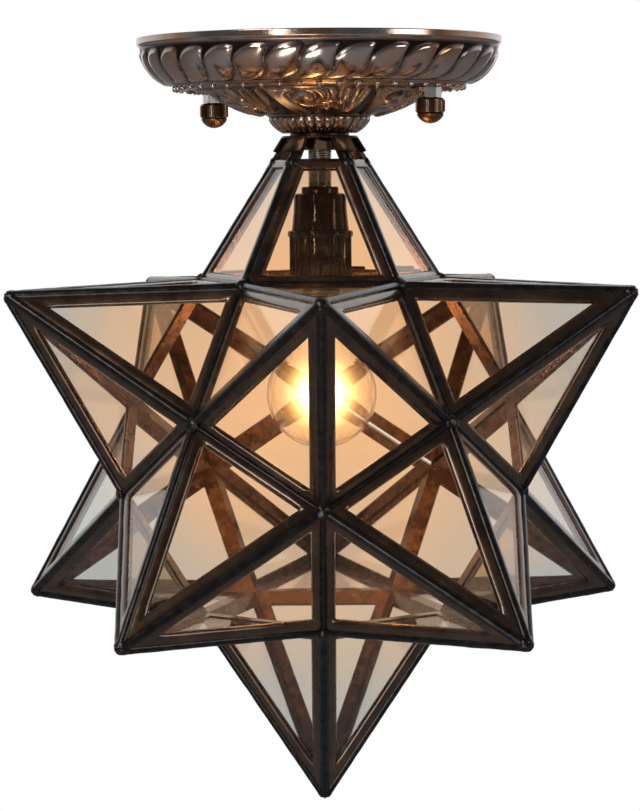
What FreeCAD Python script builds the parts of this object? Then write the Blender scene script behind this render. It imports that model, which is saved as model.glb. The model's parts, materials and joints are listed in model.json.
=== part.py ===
import FreeCAD, Part
import math
import os
import re
import Sketcher

# A twelve-pointed glass star lantern that hangs close under a ceiling from a pressed round plate.
# Frame: +Z up, origin in the ceiling plane on the lantern's axis, -Y is the front.
# A point's azimuth is counted from the front towards +X.

V = FreeCAD.Vector
TURN = 360.0
TOUCH = 0.001

# Driving sizes, in millimetres and degrees.
SIZES = {
    # star: sixty equal triangular panes, five to a point
    "pane_base": 62.6,
    "pane_slant": 91.1,
    "star_drop": 170.0,
    # brass came round each pane, and the solder that joins it
    "came_thick": 3.0,
    "came_face": 4.5,
    "came_web": 0.6,
    "seam_overrun": 2.0,
    "glass_thick": 2.0,
    "slot_play": 0.05,
    "glass_edge_play": 0.4,
    "valley_play": 0.05,
    "tip_ball": 4.5,
    "door_gap": 0.8,
    # crown: the cut-off top point
    "crown_bar_height": 53.0,
    "vent_face": 1.2,
    "cap_radius": 15.6,
    "cap_thick": 1.0,
    "petal_wide": 9.0,
    "petal_long": 7.0,
    "petal_play": 0.3,
    # pressed plate at the ceiling
    "canopy_radius": 75.5,
    "canopy_deep": 39.0,
    "canopy_sheet": 0.8,
    "rim_tall": 2.6,
    "rim_roll": 1.2,
    "shoulder_bulge": 3.2,
    "bead_depth": 20.6,
    "bead_half": 1.6,
    "bead_rise": 1.2,
    "pad_half": 6.8,
    "pad_step": 1.4,
    "pad_drop": 0.6,
    "bowl_bulge": 1.4,
    "boss_radius": 21.0,
    "boss_depth": 31.6,
    "boss_roll": 1.2,
    "boss_step": 0.8,
    "boss_foot": 13.3,
    # ceiling strap and what hangs the plate on it
    "strap_end": 8.2,
    "strap_wide": 20.0,
    "strap_thick": 2.0,
    "strap_turn": -32.0,
    "strap_hole": 2.25,
    "strap_hole_circle": 70.0,
    "cable_hole": 5.25,
    "stud_reach": 52.8,
    "stud_radius": 2.4,
    "stud_play": 0.05,
    "stud_long": 30.5,
    "stud_nut_flats": 8.0,
    "stud_nut_tall": 4.5,
    "knob_radius": 6.0,
    "knob_tall": 6.5,
    "knob_edge": 0.6,
    "knob_bore_play": 0.4,
    "dome_radius": 5.6,
    "dome_tall": 3.8,
    # threaded tube and its nuts
    "tube_radius": 5.0,
    "tube_bore": 4.0,
    "tube_long": 38.0,
    "tube_play": 0.05,
    "tube_edge": 0.5,
    "tube_stub": 1.8,
    "drill_over": 1.0,
    "nut_flats": 14.0,
    "nut_tall": 4.0,
    "washer_radius": 8.4,
    "spacer_radius": 12.4,
    "washer_thick": 1.0,
    "spacer_thick": 1.2,
    "lock_washer_radius": 7.8,
    "lock_washer_thick": 0.8,
    # lamp holder
    "neck_radius": 7.7,
    "neck_tall": 2.6,
    "neck_wall_deep": 9.0,
    "tube_shy": 1.0,
    "holder_top_radius": 10.85,
    "holder_step_radius": 11.95,
    "holder_cap_tall": 18.1,
    "holder_wall": 2.3,
    "holder_edge": 0.8,
    "skirt_flange_radius": 13.6,
    "skirt_flange_tall": 2.6,
    "skirt_radius": 12.9,
    "skirt_tall": 20.0,
    "skirt_wall": 1.6,
    "skirt_lip": 1.6,
    "skirt_edge": 1.0,
    "skirt_step": 0.6,
    "insert_tall": 7.2,
    "insert_play": 0.1,
    "shell_radius": 7.9,
    "shell_wall": 0.6,
    "shell_tall": 16.5,
    "spring_radius": 2.8,
    "spring_tall": 2.5,
    "terminal_radius": 1.6,
    "terminal_tall": 1.8,
    "terminal_reach": 6.0,
    # lamp
    "contact_gap": 0.3,
    "bulb_long": 86.0,
    "globe_radius": 22.8,
    "bulb_wall": 0.7,
    "globe_join": 58.0,
    "waist_in": 2.0,
    "waist_drop": 0.6,
    "eyelet_radius": 2.5,
    "eyelet_tall": 1.5,
    "insulator_lip": 0.4,
    "button_radius": 4.5,
    "button_tall": 1.8,
    "base_radius": 6.8,
    "base_tall": 24.0,
    "base_flare": 7.9,
    "base_wall": 0.5,
    "base_shoulder": 1.6,
    "flare_tall": 4.5,
    "bulb_neck_radius": 6.2,
    "bulb_neck_in": 10.0,
    "bulb_neck_out": 3.0,
    "stem_radius": 3.2,
    "stem_flare": 1.6,
    "stem_long": 24.0,
    "stem_clear": 1.0,
    "filament_ring": 8.0,
    "filament_gap": 40.0,
    "filament_wire": 0.35,
    "filament_root": 0.5,
    # leads and terminal block
    "lead_radius": 1.0,
    "lead_offset": 2.2,
    "lead_bend": 11.0,
    "block_near": 13.0,
    "block_long": 22.0,
    "block_wide": 18.0,
    "block_tall": 10.0,
    "block_screw": 1.7,
    "block_screw_deep": 3.0,
    "lead_height": 7.0,
    "earth_offset": 6.5,
    "earth_reach": 12.0,
    "earth_head": 3.4,
    "earth_head_tall": 2.2,
    "earth_bend": 2.4,
    # door hinge
    "hinge_long": 36.0,
    "hinge_tube": 1.6,
    "hinge_pin": 0.8,
    "hinge_pin_play": 0.05,
    "hinge_pin_proud": 0.8,
    "hinge_lift": 0.3,
    "leaf_wide": 4.2,
    "leaf_thick": 0.6,
    "knuckle_play": 0.3,
    # door hook
    "hook_along": 17.0,
    "hook_aside": 4.0,
    "hook_lift": 5.0,
    "hook_wire": 0.6,
    "hook_play": 0.1,
    "post_radius": 0.8,
    "post_stand": 1.0,
}

# Values that follow from the driving sizes.
WORKED = {
    "half_base": "pane_base / 2",
    "apothem": "pane_base / (2 * tan(36))",
    "base_vertex": "pane_base / (2 * sin(36))",
    "core_in": "pane_base / 2 * sqrt(2.5 + 1.1 * sqrt(5))",
    "point_tall": "sqrt(pane_slant ^ 2 - apothem ^ 2)",
    "star_radius": "core_in + point_tall",
    "arris_long": "sqrt(point_tall ^ 2 + base_vertex ^ 2)",
    "pane_tilt": "atan(point_tall / apothem)",
    "tip_half": "atan(half_base / pane_slant)",
    "arris_half_turn": "asin(sin(pane_tilt) * sin(36))",
    "arris_inset": "came_thick * tan(arris_half_turn) + valley_play",
    "seam_radius": "came_thick / (2 * cos(arris_half_turn))",
    "valley_half": "180 deg - atan(core_in / apothem) - pane_tilt",
    "inner_inset": "arris_inset + came_face",
    "glass_inset": "arris_inset + came_web + glass_edge_play",
    "bead_radius": "stud_reach + pad_half",
    "pad_inner": "stud_reach - pad_half",
    "strap_long": "2 * (stud_reach + strap_end)",
    "cap_under": "canopy_deep + spacer_thick + cap_thick",
    "crown_cut": "star_drop - cap_under",
    "tube_top": "canopy_deep - canopy_sheet - washer_thick - nut_tall - tube_stub",
    "tube_end": "tube_top + tube_long",
    "holder_top": "tube_end - neck_wall_deep + tube_shy",
    "holder_step": "holder_top + holder_cap_tall",
    "insert_top": "holder_step + skirt_lip - insert_tall",
    "insert_foot": "holder_step + skirt_lip",
    "insert_radius": "holder_step_radius - holder_wall - insert_play",
    "eyelet_top": "insert_foot + spring_tall + contact_gap",
    "globe_low": "eyelet_top + bulb_long",
    "globe_depth": "globe_low - globe_radius",
    "base_top": "eyelet_top + eyelet_tall + button_tall",
    "base_low": "eyelet_top + base_tall",
    "stud_nut_top": "bead_depth + pad_drop",
    "knob_top": "stud_nut_top + stud_nut_tall",
    "hinge_axis_rise": "(hinge_tube + hinge_lift) / sin(valley_half)",
}

PANES = 5
PANE_STEP = TURN / PANES
UPPER_TILT = math.degrees(math.atan(2.0))
LOWER_TILT = TURN / 2 - UPPER_TILT

# label: (steps round from the front, tilt from straight up, half turns about its own axis)
POINTS = {
    "crown": (0, 0, 0),
    "upper_front": (0, UPPER_TILT, 1),
    "upper_right": (1, UPPER_TILT, 1),
    "upper_left": (-1, UPPER_TILT, 1),
    "door": (2, UPPER_TILT, 1),
    "upper_back_left": (-2, UPPER_TILT, 1),
    "lower_front_right": (0.5, LOWER_TILT, 0),
    "lower_front_left": (-0.5, LOWER_TILT, 0),
    "lower_right": (1.5, LOWER_TILT, 0),
    "lower_left": (-1.5, LOWER_TILT, 0),
    "lower_back": (2.5, LOWER_TILT, 0),
    "bottom": (0, TURN / 2, 0),
}
DOOR_AZIMUTH = POINTS["door"][0] * PANE_STEP

doc = FreeCAD.newDocument("star_pendant")
parts = {}


# ---------------------------------------------------------------- spreadsheet

def fill_sheet(name, cells):
    """Write one column of named cells."""
    sheet = doc.addObject("Spreadsheet::Sheet", name)
    for row, (alias, content) in enumerate(cells.items(), start=1):
        sheet.set("A%d" % row, alias)
        sheet.set("B%d" % row, content)
        sheet.setAlias("B%d" % row, alias)
    return sheet


def linked(expression):
    """Turn the names in a formula into references to the sheets' cells."""
    def refer(match):
        word = match.group(0)
        if word in SIZES:
            return "Sizes." + word
        if word in WORKED:
            return "Worked." + word
        return word
    return re.sub(r"[a-z_]+", refer, expression)


def linked_inside(expression):
    """The same for a formula inside the second sheet, whose own cells need no sheet name."""
    def refer(match):
        word = match.group(0)
        return "Sizes." + word if word in SIZES else word
    return re.sub(r"[a-z_]+", refer, expression)


sizes = fill_sheet("Sizes", {name: str(value) for name, value in SIZES.items()})
worked = fill_sheet("Worked", {name: "=" + linked_inside(formula) for name, formula in WORKED.items()})
doc.recompute()


def val(name):
    """The number in a named cell, in millimetres or degrees."""
    number = getattr(sizes if name in SIZES else worked, name)
    return float(getattr(number, "Value", number))


# ------------------------------------------------------------------- placing

def place(x=0.0, y=0.0, z=0.0, axis=(0, 0, 1), angle=0.0):
    return FreeCAD.Placement(V(x, y, z), FreeCAD.Rotation(V(*axis), angle))


def spin(angle):
    return place(axis=(0, 0, 1), angle=angle)


def point_place(label):
    """Where a point stands: spun about its axis, tilted to the front, turned to its azimuth."""
    steps, tilt, half_turns = POINTS[label]
    at_centre = spin(steps * PANE_STEP) * place(axis=(1, 0, 0), angle=tilt) * spin(half_turns * TURN / 2)
    return place(z=-val("star_drop")) * at_centre


def pane_place(index):
    """The frame of one pane in its point: X along the base edge, Y up the slant, Z outwards."""
    lean = place(y=-val("apothem"), z=val("core_in"), axis=(1, 0, 0), angle=val("pane_tilt"))
    return spin(index * PANE_STEP) * lean


def strap_place():
    return spin(val("strap_turn"))


# ------------------------------------------------------------------ features

def primitive(kind, name, at=None, **expressions):
    """A solid primitive whose sizes are bound to the sheets."""
    solid = doc.addObject("Part::" + kind, name)
    for size, expression in expressions.items():
        solid.setExpression(size, linked(str(expression)))
    solid.Placement = at or place()
    return solid


def copy_of(source, name, at):
    """The same solid again in another place."""
    again = doc.addObject("Part::Compound", name)
    again.Links = [source]
    again.Placement = at
    return again


def group(name, members, at=None):
    """Several separate solids kept together."""
    together = doc.addObject("Part::Compound", name)
    together.Links = list(members)
    together.Placement = at or place()
    return together


def joined(name, members):
    fused = doc.addObject("Part::MultiFuse", name)
    fused.Shapes = list(members)
    return fused


def cut(name, base, tool):
    left = doc.addObject("Part::Cut", name)
    left.Base = base
    left.Tool = tool
    return left


def sketch_outline(body, role, corners):
    """A closed outline of straight lines whose corners are bound to the sheets."""
    sketch = body.newObject("Sketcher::SketchObject", body.Name + "_outline")
    plane = [item for item in body.Origin.OriginFeatures if item.Role == role][0]
    sketch.AttachmentSupport = [(plane, "")]
    sketch.MapMode = "FlatFace"
    count = len(corners)
    start = [V(1.0 + k, 1.0 + k * k, 0) for k in range(count)]
    for k in range(count):
        sketch.addGeometry(Part.LineSegment(start[k], start[(k + 1) % count]))
    for k in range(count):
        sketch.addConstraint(Sketcher.Constraint("Coincident", k, 2, (k + 1) % count, 1))
    for k, corner in enumerate(corners):
        for kind, expression in zip(("DistanceX", "DistanceY"), corner):
            number = sketch.addConstraint(Sketcher.Constraint(kind, -1, 1, k, 1, 1.0))
            sketch.setExpression("Constraints[%d]" % number, linked(expression))
    return sketch


def turned(name, corners, at=None):
    """A solid turned about Z; corners are (radius, height) formulas."""
    body = doc.addObject("PartDesign::Body", name)
    sketch = sketch_outline(body, "XZ_Plane", corners)
    turn = body.newObject("PartDesign::Revolution", name + "_turn")
    turn.Profile = sketch
    turn.ReferenceAxis = (sketch, ["V_Axis"])
    turn.Angle = TURN
    body.Placement = at or place()
    return body


def padded(name, corners, thick, at=None, sink="0"):
    """A flat piece: an outline in X and Y, thick downwards from the depth sink."""
    body = doc.addObject("PartDesign::Body", name)
    sketch = sketch_outline(body, "XY_Plane", corners)
    sketch.setExpression("AttachmentOffset.Base.z", linked("-(" + sink + ")"))
    pad = body.newObject("PartDesign::Pad", name + "_pad")
    pad.Profile = sketch
    pad.Reversed = True
    pad.setExpression("Length", linked(thick))
    body.Placement = at or place()
    return body


def keep(label, item):
    """Register a finished piece under its node name."""
    item.Label = label
    parts[label] = item
    return item


# ------------------------------------------------------------ star: one point

def inset_corner(side, base):
    """Base corner of the pane's triangle drawn in by side and base."""
    x = "half_base * (1 - (%s) / pane_slant) - (%s) / cos(tip_half)" % (base, side)
    return x, "(%s)" % base


def inset_tip(side):
    return "0", "pane_slant - (%s) / sin(tip_half)" % side


def side_at(side, height):
    """Half width, at a height up the slant, of the triangle drawn in by side."""
    return "half_base * (1 - (%s) / pane_slant) - (%s) / cos(tip_half)" % (height, side)


def mirrored(corner):
    return "-(%s)" % corner[0], corner[1]


def pane_outline(side, base, top=None):
    """Outline of a pane: a triangle, or cut level at the height top."""
    corner = inset_corner(side, base)
    if top is None:
        return [mirrored(corner), corner, inset_tip(side)]
    high = (side_at(side, top), top)
    return [mirrored(corner), corner, high, mirrored(high)]


def came_strips(tag, base):
    """The two arris strips and the base strip of one pane, mitred where they meet."""
    outer = inset_corner("arris_inset", base)
    inner = inset_corner("inner_inset", "(%s) + came_face" % base)
    tip_outer = inset_tip("arris_inset")
    tip_inner = inset_tip("inner_inset")
    right = [outer, tip_outer, tip_inner, inner]
    left = [mirrored(corner) for corner in right]
    foot = [mirrored(outer), outer, inner, mirrored(inner)]
    return {
        "right": padded(tag + "_right_strip", right, "came_thick", pane_place(0)),
        "left": padded(tag + "_left_strip", left, "came_thick", pane_place(1)),
        "foot": padded(tag + "_foot_strip", foot, "came_thick", pane_place(0)),
    }


def glass_and_slot(tag, base, top=None):
    """One pane, and the slot that it needs in its came."""
    sink = "(came_thick - glass_thick) / 2"
    outline = pane_outline("glass_inset", "(%s) + came_web + glass_edge_play" % base, top)
    glass = padded(tag + "_pane", outline, "glass_thick", pane_place(0), sink)
    slot_top = None if top is None else "(%s) + glass_edge_play" % top
    slot_outline = pane_outline("arris_inset + came_web", "(%s) + came_web" % base, slot_top)
    slot = padded(tag + "_slot", slot_outline, "glass_thick + 2 * slot_play", pane_place(0),
                  sink + " - slot_play")
    return glass, slot


def arris_place():
    """The frame of the first arris: origin at the base corner, Z up the arris, Y inwards."""
    lean = -math.degrees(math.atan2(val("base_vertex"), val("point_tall")))
    upright = place(y=-val("base_vertex"), z=val("core_in"), axis=(1, 0, 0), angle=lean)
    return spin(PANE_STEP / 2) * upright


def beyond_valley(name, index, shift=0.0):
    """A block that fills everything past the seam plane through one base edge and the star's centre."""
    lean = 180.0 - math.degrees(math.atan2(val("core_in"), val("apothem")))
    half = val("star_radius")
    block = primitive("Box", name, Length="2 * star_radius", Width="2 * star_radius", Height="star_radius")
    upright = spin(index * PANE_STEP) * place(axis=(1, 0, 0), angle=lean)
    block.Placement = upright * place(-half, -half, -shift)
    return block


def arris_bar(tag, strips, slot, shift, ball=None):
    """Two came strips soldered back to back along one arris."""
    second_slot = copy_of(slot, tag + "_slot_next", spin(PANE_STEP))
    right = cut(tag + "_right_came", strips["right"], slot)
    left = cut(tag + "_left_came", strips["left"], second_slot)
    foot = arris_place() * place(y=val("seam_radius"), z=-val("seam_overrun"))
    seam = primitive("Cylinder", tag + "_seam", foot, Radius="seam_radius",
                     Height="arris_long - seam_radius")
    bar = joined(tag + "_arris_whole", [right, left, seam])
    limits = [beyond_valley(tag + "_limit_0", 0, shift), beyond_valley(tag + "_limit_1", 1, shift)]
    if ball:
        limits.append(ball)
    return cut(tag + "_arris", bar, group(tag + "_arris_limits", limits)), seam


def foot_bar(tag, strips, slot, seam, soldered):
    """The base strip of one pane, with its half of the valley's solder, clear of the arris solder."""
    seams = [copy_of(seam, "%s_seam_beside_%d" % (tag, k), spin(k * PANE_STEP)) for k in (0, -1)]
    came = cut(tag + "_foot_came", strips["foot"], group(tag + "_foot_limits", [slot] + seams))
    if not soldered:
        return came
    # half of the wedge that opens between two neighbouring points' cames
    half_wide = "came_thick * sin(90 deg - valley_half)"
    body = doc.addObject("PartDesign::Body", tag + "_valley_solder")
    sketch = sketch_outline(body, "YZ_Plane", [
        ("valley_play", "0"),
        ("valley_play", "-came_thick"),
        ("valley_play - (%s)" % half_wide, "-came_thick * cos(90 deg - valley_half)"),
    ])
    pad = body.newObject("PartDesign::Pad", tag + "_valley_pad")
    pad.Profile = sketch
    pad.Midplane = True
    pad.setExpression("Length", linked("2 * (half_base - arris_inset / cos(tip_half))"))
    body.Placement = pane_place(0)
    return joined(tag + "_foot", [came, body])


def ring(tag, item, count=PANES):
    """Five copies of a solid round the point's axis."""
    return [copy_of(item, "%s_%d" % (tag, k), spin(k * PANE_STEP)) for k in range(count)]


def point_master(tag, base, soldered):
    """A whole point on the vertical axis: its metal and its five panes."""
    strips = came_strips(tag, base)
    glass, slot = glass_and_slot(tag, base)
    ball_place = place(z=val("star_radius") - val("tip_ball"))
    ball = primitive("Sphere", tag + "_ball", ball_place, Radius="tip_ball")
    shift = 0.0 if soldered else val(base)
    bar, seam = arris_bar(tag, strips, slot, shift, ball)
    foot = foot_bar(tag, strips, slot, seam, soldered)
    metal = group(tag + "_metal", ring(tag + "_bar", bar) + ring(tag + "_foot_bar", foot) + [ball])
    return metal, group(tag + "_panes", ring(tag + "_glass", glass))


def crown_master(tag, base):
    """The top point, cut level under the cap: a bar across each pane's top, and slimmer came above it."""
    strips = came_strips(tag, base)
    bar_top = "crown_bar_height + came_face"
    vent = "arris_inset + vent_face"
    vent_foot = (side_at(vent, bar_top), bar_top)
    for side, at in (("right", pane_place(0)), ("left", pane_place(1))):
        opening = padded("%s_%s_vent" % (tag, side), [mirrored(vent_foot), vent_foot, inset_tip(vent)],
                         "came_thick + 2 * drill_over", at, "-drill_over")
        strips[side] = cut("%s_%s_slim_strip" % (tag, side), strips[side], opening)
    pane_top = "crown_bar_height + came_face - came_web - glass_edge_play"
    glass, slot = glass_and_slot(tag, base, pane_top)
    corner = place(-val("star_radius"), -val("star_radius"), val("crown_cut"))
    above = primitive("Box", tag + "_above", corner, Length="2 * star_radius", Width="2 * star_radius",
                      Height="star_radius")
    whole, seam = arris_bar(tag, strips, slot, 0.0)
    bar = cut(tag + "_arris_cut", whole, above)
    foot = foot_bar(tag, strips, slot, seam, True)
    low = (side_at("inner_inset", "crown_bar_height"), "crown_bar_height")
    high = (side_at("inner_inset", bar_top), bar_top)
    cross = padded(tag + "_cross", [mirrored(low), low, high, mirrored(high)], "came_thick", pane_place(0))
    cross_bar = cut(tag + "_cross_bar", cross, slot)
    metal = group(tag + "_metal", ring(tag + "_bar", bar) + ring(tag + "_foot_bar", foot)
                  + ring(tag + "_top_bar", cross_bar))
    return metal, group(tag + "_panes", ring(tag + "_glass", glass))


def make_star():
    plain = point_master("plain", "valley_play", True)
    door = point_master("leaf", "door_gap", False)
    crown = crown_master("crown_point", "valley_play")
    masters = {"crown": crown, "door": door}
    for label in POINTS:
        metal, panes = masters.get(label, plain)
        at = point_place(label)
        keep(label + "_frame", group(label + "_cames", [metal], at))
        keep(label + "_glass", group(label + "_lights", [panes], at))


# ------------------------------------------------------------------ crown cap

def make_crown_cap():
    """A round plate with five petals folded down over the crown's arrises."""
    low = -val("cap_under")
    plate = primitive("Cylinder", "cap_plate", place(z=low), Radius="cap_radius", Height="cap_thick")
    hole = primitive("Cylinder", "cap_hole", place(z=low - val("drill_over")),
                     Radius="tube_radius + tube_play", Height="cap_thick + 2 * drill_over")
    lean = math.degrees(math.atan2(val("base_vertex"), val("point_tall")))
    # the arris line's radius at the underside of the plate
    ridge = (val("star_radius") - val("crown_cut")) * val("base_vertex") / val("point_tall")
    petals = []
    for k in range(PANES):
        petal = primitive("Box", "cap_petal_%d" % k, Length="petal_wide", Width="cap_thick",
                          Height="petal_long")
        hang = place(y=-ridge, z=-val("cap_under"), axis=(1, 0, 0), angle=-lean)
        offset = place(-val("petal_wide") / 2, -val("petal_play") - val("cap_thick"), -val("petal_long"))
        petal.Placement = spin(PANE_STEP / 2 + k * PANE_STEP) * hang * offset
        petals.append(petal)
    keep("crown_cap", cut("cap_bored", joined("cap_whole", [plate] + petals), hole))


# --------------------------------------------------------------------- canopy

def canopy_face():
    """Section of the pressed sheet: rim band, fluted shoulder, bead step, pads, bowl and boss."""
    rim = val("canopy_radius")
    tall = val("rim_tall")
    roll = val("rim_roll")
    bead = val("bead_radius")
    bead_z = -val("bead_depth")
    bead_out = bead + val("bead_half")
    bead_high = bead_z + val("bead_rise")
    pad = val("pad_inner")
    pad_out = bead - val("pad_step")
    pad_z = -val("stud_nut_top")
    boss = val("boss_radius")
    boss_z = -val("boss_depth")
    boss_out = boss + val("boss_roll")
    boss_low = boss_z - val("boss_step")
    foot = val("boss_foot")
    foot_z = -val("canopy_deep")
    hole = val("tube_radius") + val("tube_play")
    shoulder_z = (bead_z - tall - roll) / 2 - val("pad_drop")
    shoulder_mid = V((rim + bead) / 2 + val("shoulder_bulge"), 0, shoulder_z)
    shoulder = Part.Arc(V(rim - roll, 0, -tall - roll), shoulder_mid, V(bead_out, 0, bead_high)).toShape()
    bowl_mid = V((pad + boss_out) / 2, 0, (pad_z + boss_z) / 2 - val("bowl_bulge"))
    bowl = Part.Arc(V(pad, 0, pad_z), bowl_mid, V(boss_out, 0, boss_z)).toShape()
    cove_mid = V((boss + foot + val("boss_roll")) / 2, 0, (boss_low + foot_z) / 2 - val("boss_step"))
    cove = Part.Arc(V(boss, 0, boss_low), cove_mid, V(foot, 0, foot_z)).toShape()
    edges = [
        Part.makeLine(V(rim, 0, 0), V(rim, 0, -tall)),
        Part.makeLine(V(rim, 0, -tall), V(rim - roll, 0, -tall - roll)),
        shoulder,
        Part.makeLine(V(bead_out, 0, bead_high), V(bead, 0, bead_z)),
        Part.makeLine(V(bead, 0, bead_z), V(pad_out, 0, pad_z)),
        Part.makeLine(V(pad_out, 0, pad_z), V(pad, 0, pad_z)),
        bowl,
        Part.makeLine(V(boss_out, 0, boss_z), V(boss, 0, boss_low)),
        cove,
        Part.makeLine(V(foot, 0, foot_z), V(hole, 0, foot_z)),
    ]
    outer = Part.Wire(edges)
    sheet = -val("canopy_sheet")
    return outer.makeOffset2D(sheet, 2, True, True)


def make_canopy():
    pressed = doc.addObject("Part::Feature", "canopy_pressing")
    pressed.Shape = canopy_face().revolve(V(0, 0, 0), V(0, 0, 1), TURN)
    holes = [stud_cylinder("canopy_stud_hole_%d" % side, side, "stud_radius + stud_play", "-canopy_deep",
                           "canopy_deep") for side in (-1, 1)]
    keep("canopy", cut("canopy_drilled", pressed, group("canopy_stud_holes", holes)))


def stud_cylinder(name, side, radius, low, tall):
    """A cylinder on one stud's axis, from the height low upwards."""
    post = primitive("Cylinder", name, Radius=radius, Height=tall)
    sheet_low = doc_value(low)
    post.Placement = strap_place() * place(side * val("stud_reach"), 0, sheet_low)
    return post


def doc_value(formula):
    """A height written as plus or minus named sizes."""
    total = 0.0
    for sign, name in re.findall(r"([-+]?)\s*([a-z_]+|\d+\.?\d*)", formula):
        amount = float(name) if name[0].isdigit() else val(name)
        total += -amount if sign == "-" else amount
    return total


# ---------------------------------------------------------- ceiling fastenings

def make_strap():
    strap = primitive("Box", "strap_blank", Length="strap_long", Width="strap_wide", Height="strap_thick")
    corner = place(-val("strap_long") / 2, -val("strap_wide") / 2, -val("strap_thick"))
    strap.Placement = strap_place() * corner
    low = -val("strap_thick") - val("drill_over")
    through = "strap_thick + 2 * drill_over"
    holes = []
    for side in (-1, 1):
        holes.append(stud_cylinder("strap_stud_hole_%d" % side, side, "stud_radius + stud_play",
                                   "-strap_thick-drill_over", through))
        screw = primitive("Cylinder", "strap_screw_hole_%d" % side, Radius="strap_hole", Height=through)
        screw.Placement = strap_place() * place(side * val("strap_hole_circle") / 2, 0, low)
        holes.append(screw)
    cable = primitive("Cylinder", "strap_cable_hole", place(z=low), Radius="cable_hole", Height=through)
    earth = primitive("Cylinder", "strap_earth_hole", Radius="earth_head / 2 + stud_play", Height=through)
    earth.Placement = strap_place() * place(-val("earth_reach"), val("earth_offset"), low)
    keep("ceiling_strap", cut("strap_drilled", strap, group("strap_holes", holes + [cable, earth])))


def make_studs():
    studs = []
    nuts = []
    for side in (-1, 1):
        studs.append(stud_cylinder("stud_%d" % side, side, "stud_radius", "-stud_long", "stud_long"))
        nut = primitive("Prism", "stud_nut_blank_%d" % side, Circumradius="stud_nut_flats / (2 * cos(30))",
                        Height="stud_nut_tall")
        nut.Polygon = 6
        low = -val("stud_nut_top") - val("stud_nut_tall")
        nut.Placement = strap_place() * place(side * val("stud_reach"), 0, low)
        bore = stud_cylinder("stud_nut_bore_%d" % side, side, "stud_radius + stud_play",
                             "-stud_nut_top-stud_nut_tall-drill_over", "stud_nut_tall + 2 * drill_over")
        nuts.append(cut("stud_nut_%d" % side, nut, bore))
    keep("canopy_studs", group("stud_pair", studs))
    keep("canopy_hex_nuts", group("stud_nuts", nuts))


def make_knob(side, word):
    """A knurled round nut with a domed button pressed into its lower end."""
    at = strap_place() * place(side * val("stud_reach"), 0, -val("knob_top"))
    bore_end = "-(stud_long - knob_top) - knob_bore_play"
    ring_body = turned("knob_ring_" + word, [
        ("stud_radius + stud_play", "0"),
        ("knob_radius - knob_edge", "0"),
        ("knob_radius", "-knob_edge"),
        ("knob_radius", "-(knob_tall - knob_edge)"),
        ("knob_radius - knob_edge", "-knob_tall"),
        ("0", "-knob_tall"),
        ("0", bore_end),
        ("stud_radius + stud_play", bore_end),
    ], at)
    keep("knurled_nut_" + word, ring_body)
    dome = primitive("Sphere", "knob_ball_" + word,
                     Radius="(dome_radius ^ 2 + dome_tall ^ 2) / (2 * dome_tall)")
    reach = val("dome_radius")
    ball = (reach ** 2 + val("dome_tall") ** 2) / (2 * val("dome_tall"))
    dome.Placement = at * place(z=-val("knob_tall") - val("dome_tall") + ball)
    above = primitive("Cylinder", "knob_above_" + word, at * place(z=-val("knob_tall")),
                      Radius="2 * knob_radius", Height="4 * knob_radius")
    keep("nut_button_" + word, cut("knob_dome_" + word, dome, above))


# ------------------------------------------------------------- tube and nuts

def washer(label, top, radius, thick):
    low = "-(%s) - (%s)" % (top, thick)
    keep(label, turned(label + "_ring", [
        ("tube_radius + tube_play", "-(%s)" % top),
        (radius, "-(%s)" % top),
        (radius, low),
        ("tube_radius + tube_play", low),
    ]))


def tube_nut(name, low):
    """A hexagon nut on the tube; low is its lower face."""
    blank = primitive("Prism", name + "_blank", place(z=-low), Circumradius="nut_flats / (2 * cos(30))",
                      Height="nut_tall")
    blank.Polygon = 6
    bore = primitive("Cylinder", name + "_bore", place(z=-low - val("drill_over")),
                     Radius="tube_radius + tube_play", Height="nut_tall + 2 * drill_over")
    return cut(name + "_bored", blank, bore)


def make_tube():
    keep("threaded_tube", turned("tube_body", [
        ("tube_bore", "-tube_top"),
        ("tube_radius - tube_edge", "-tube_top"),
        ("tube_radius", "-tube_top - tube_edge"),
        ("tube_radius", "-tube_end + tube_edge"),
        ("tube_radius - tube_edge", "-tube_end"),
        ("tube_bore", "-tube_end"),
    ]))
    inner = "canopy_deep - canopy_sheet"
    washer("tube_washer", inner + " - washer_thick", "washer_radius", "washer_thick")
    washer("spacer_ring", "canopy_deep", "spacer_radius", "spacer_thick")
    washer("lock_washer", "cap_under", "lock_washer_radius", "lock_washer_thick")
    upper = tube_nut("upper_nut", doc_value("canopy_deep-canopy_sheet-washer_thick"))
    lower = tube_nut("lower_nut", doc_value("cap_under+lock_washer_thick+nut_tall"))
    keep("tube_nuts", group("tube_nut_pair", [upper, lower]))


# ---------------------------------------------------------------- lamp holder

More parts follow.
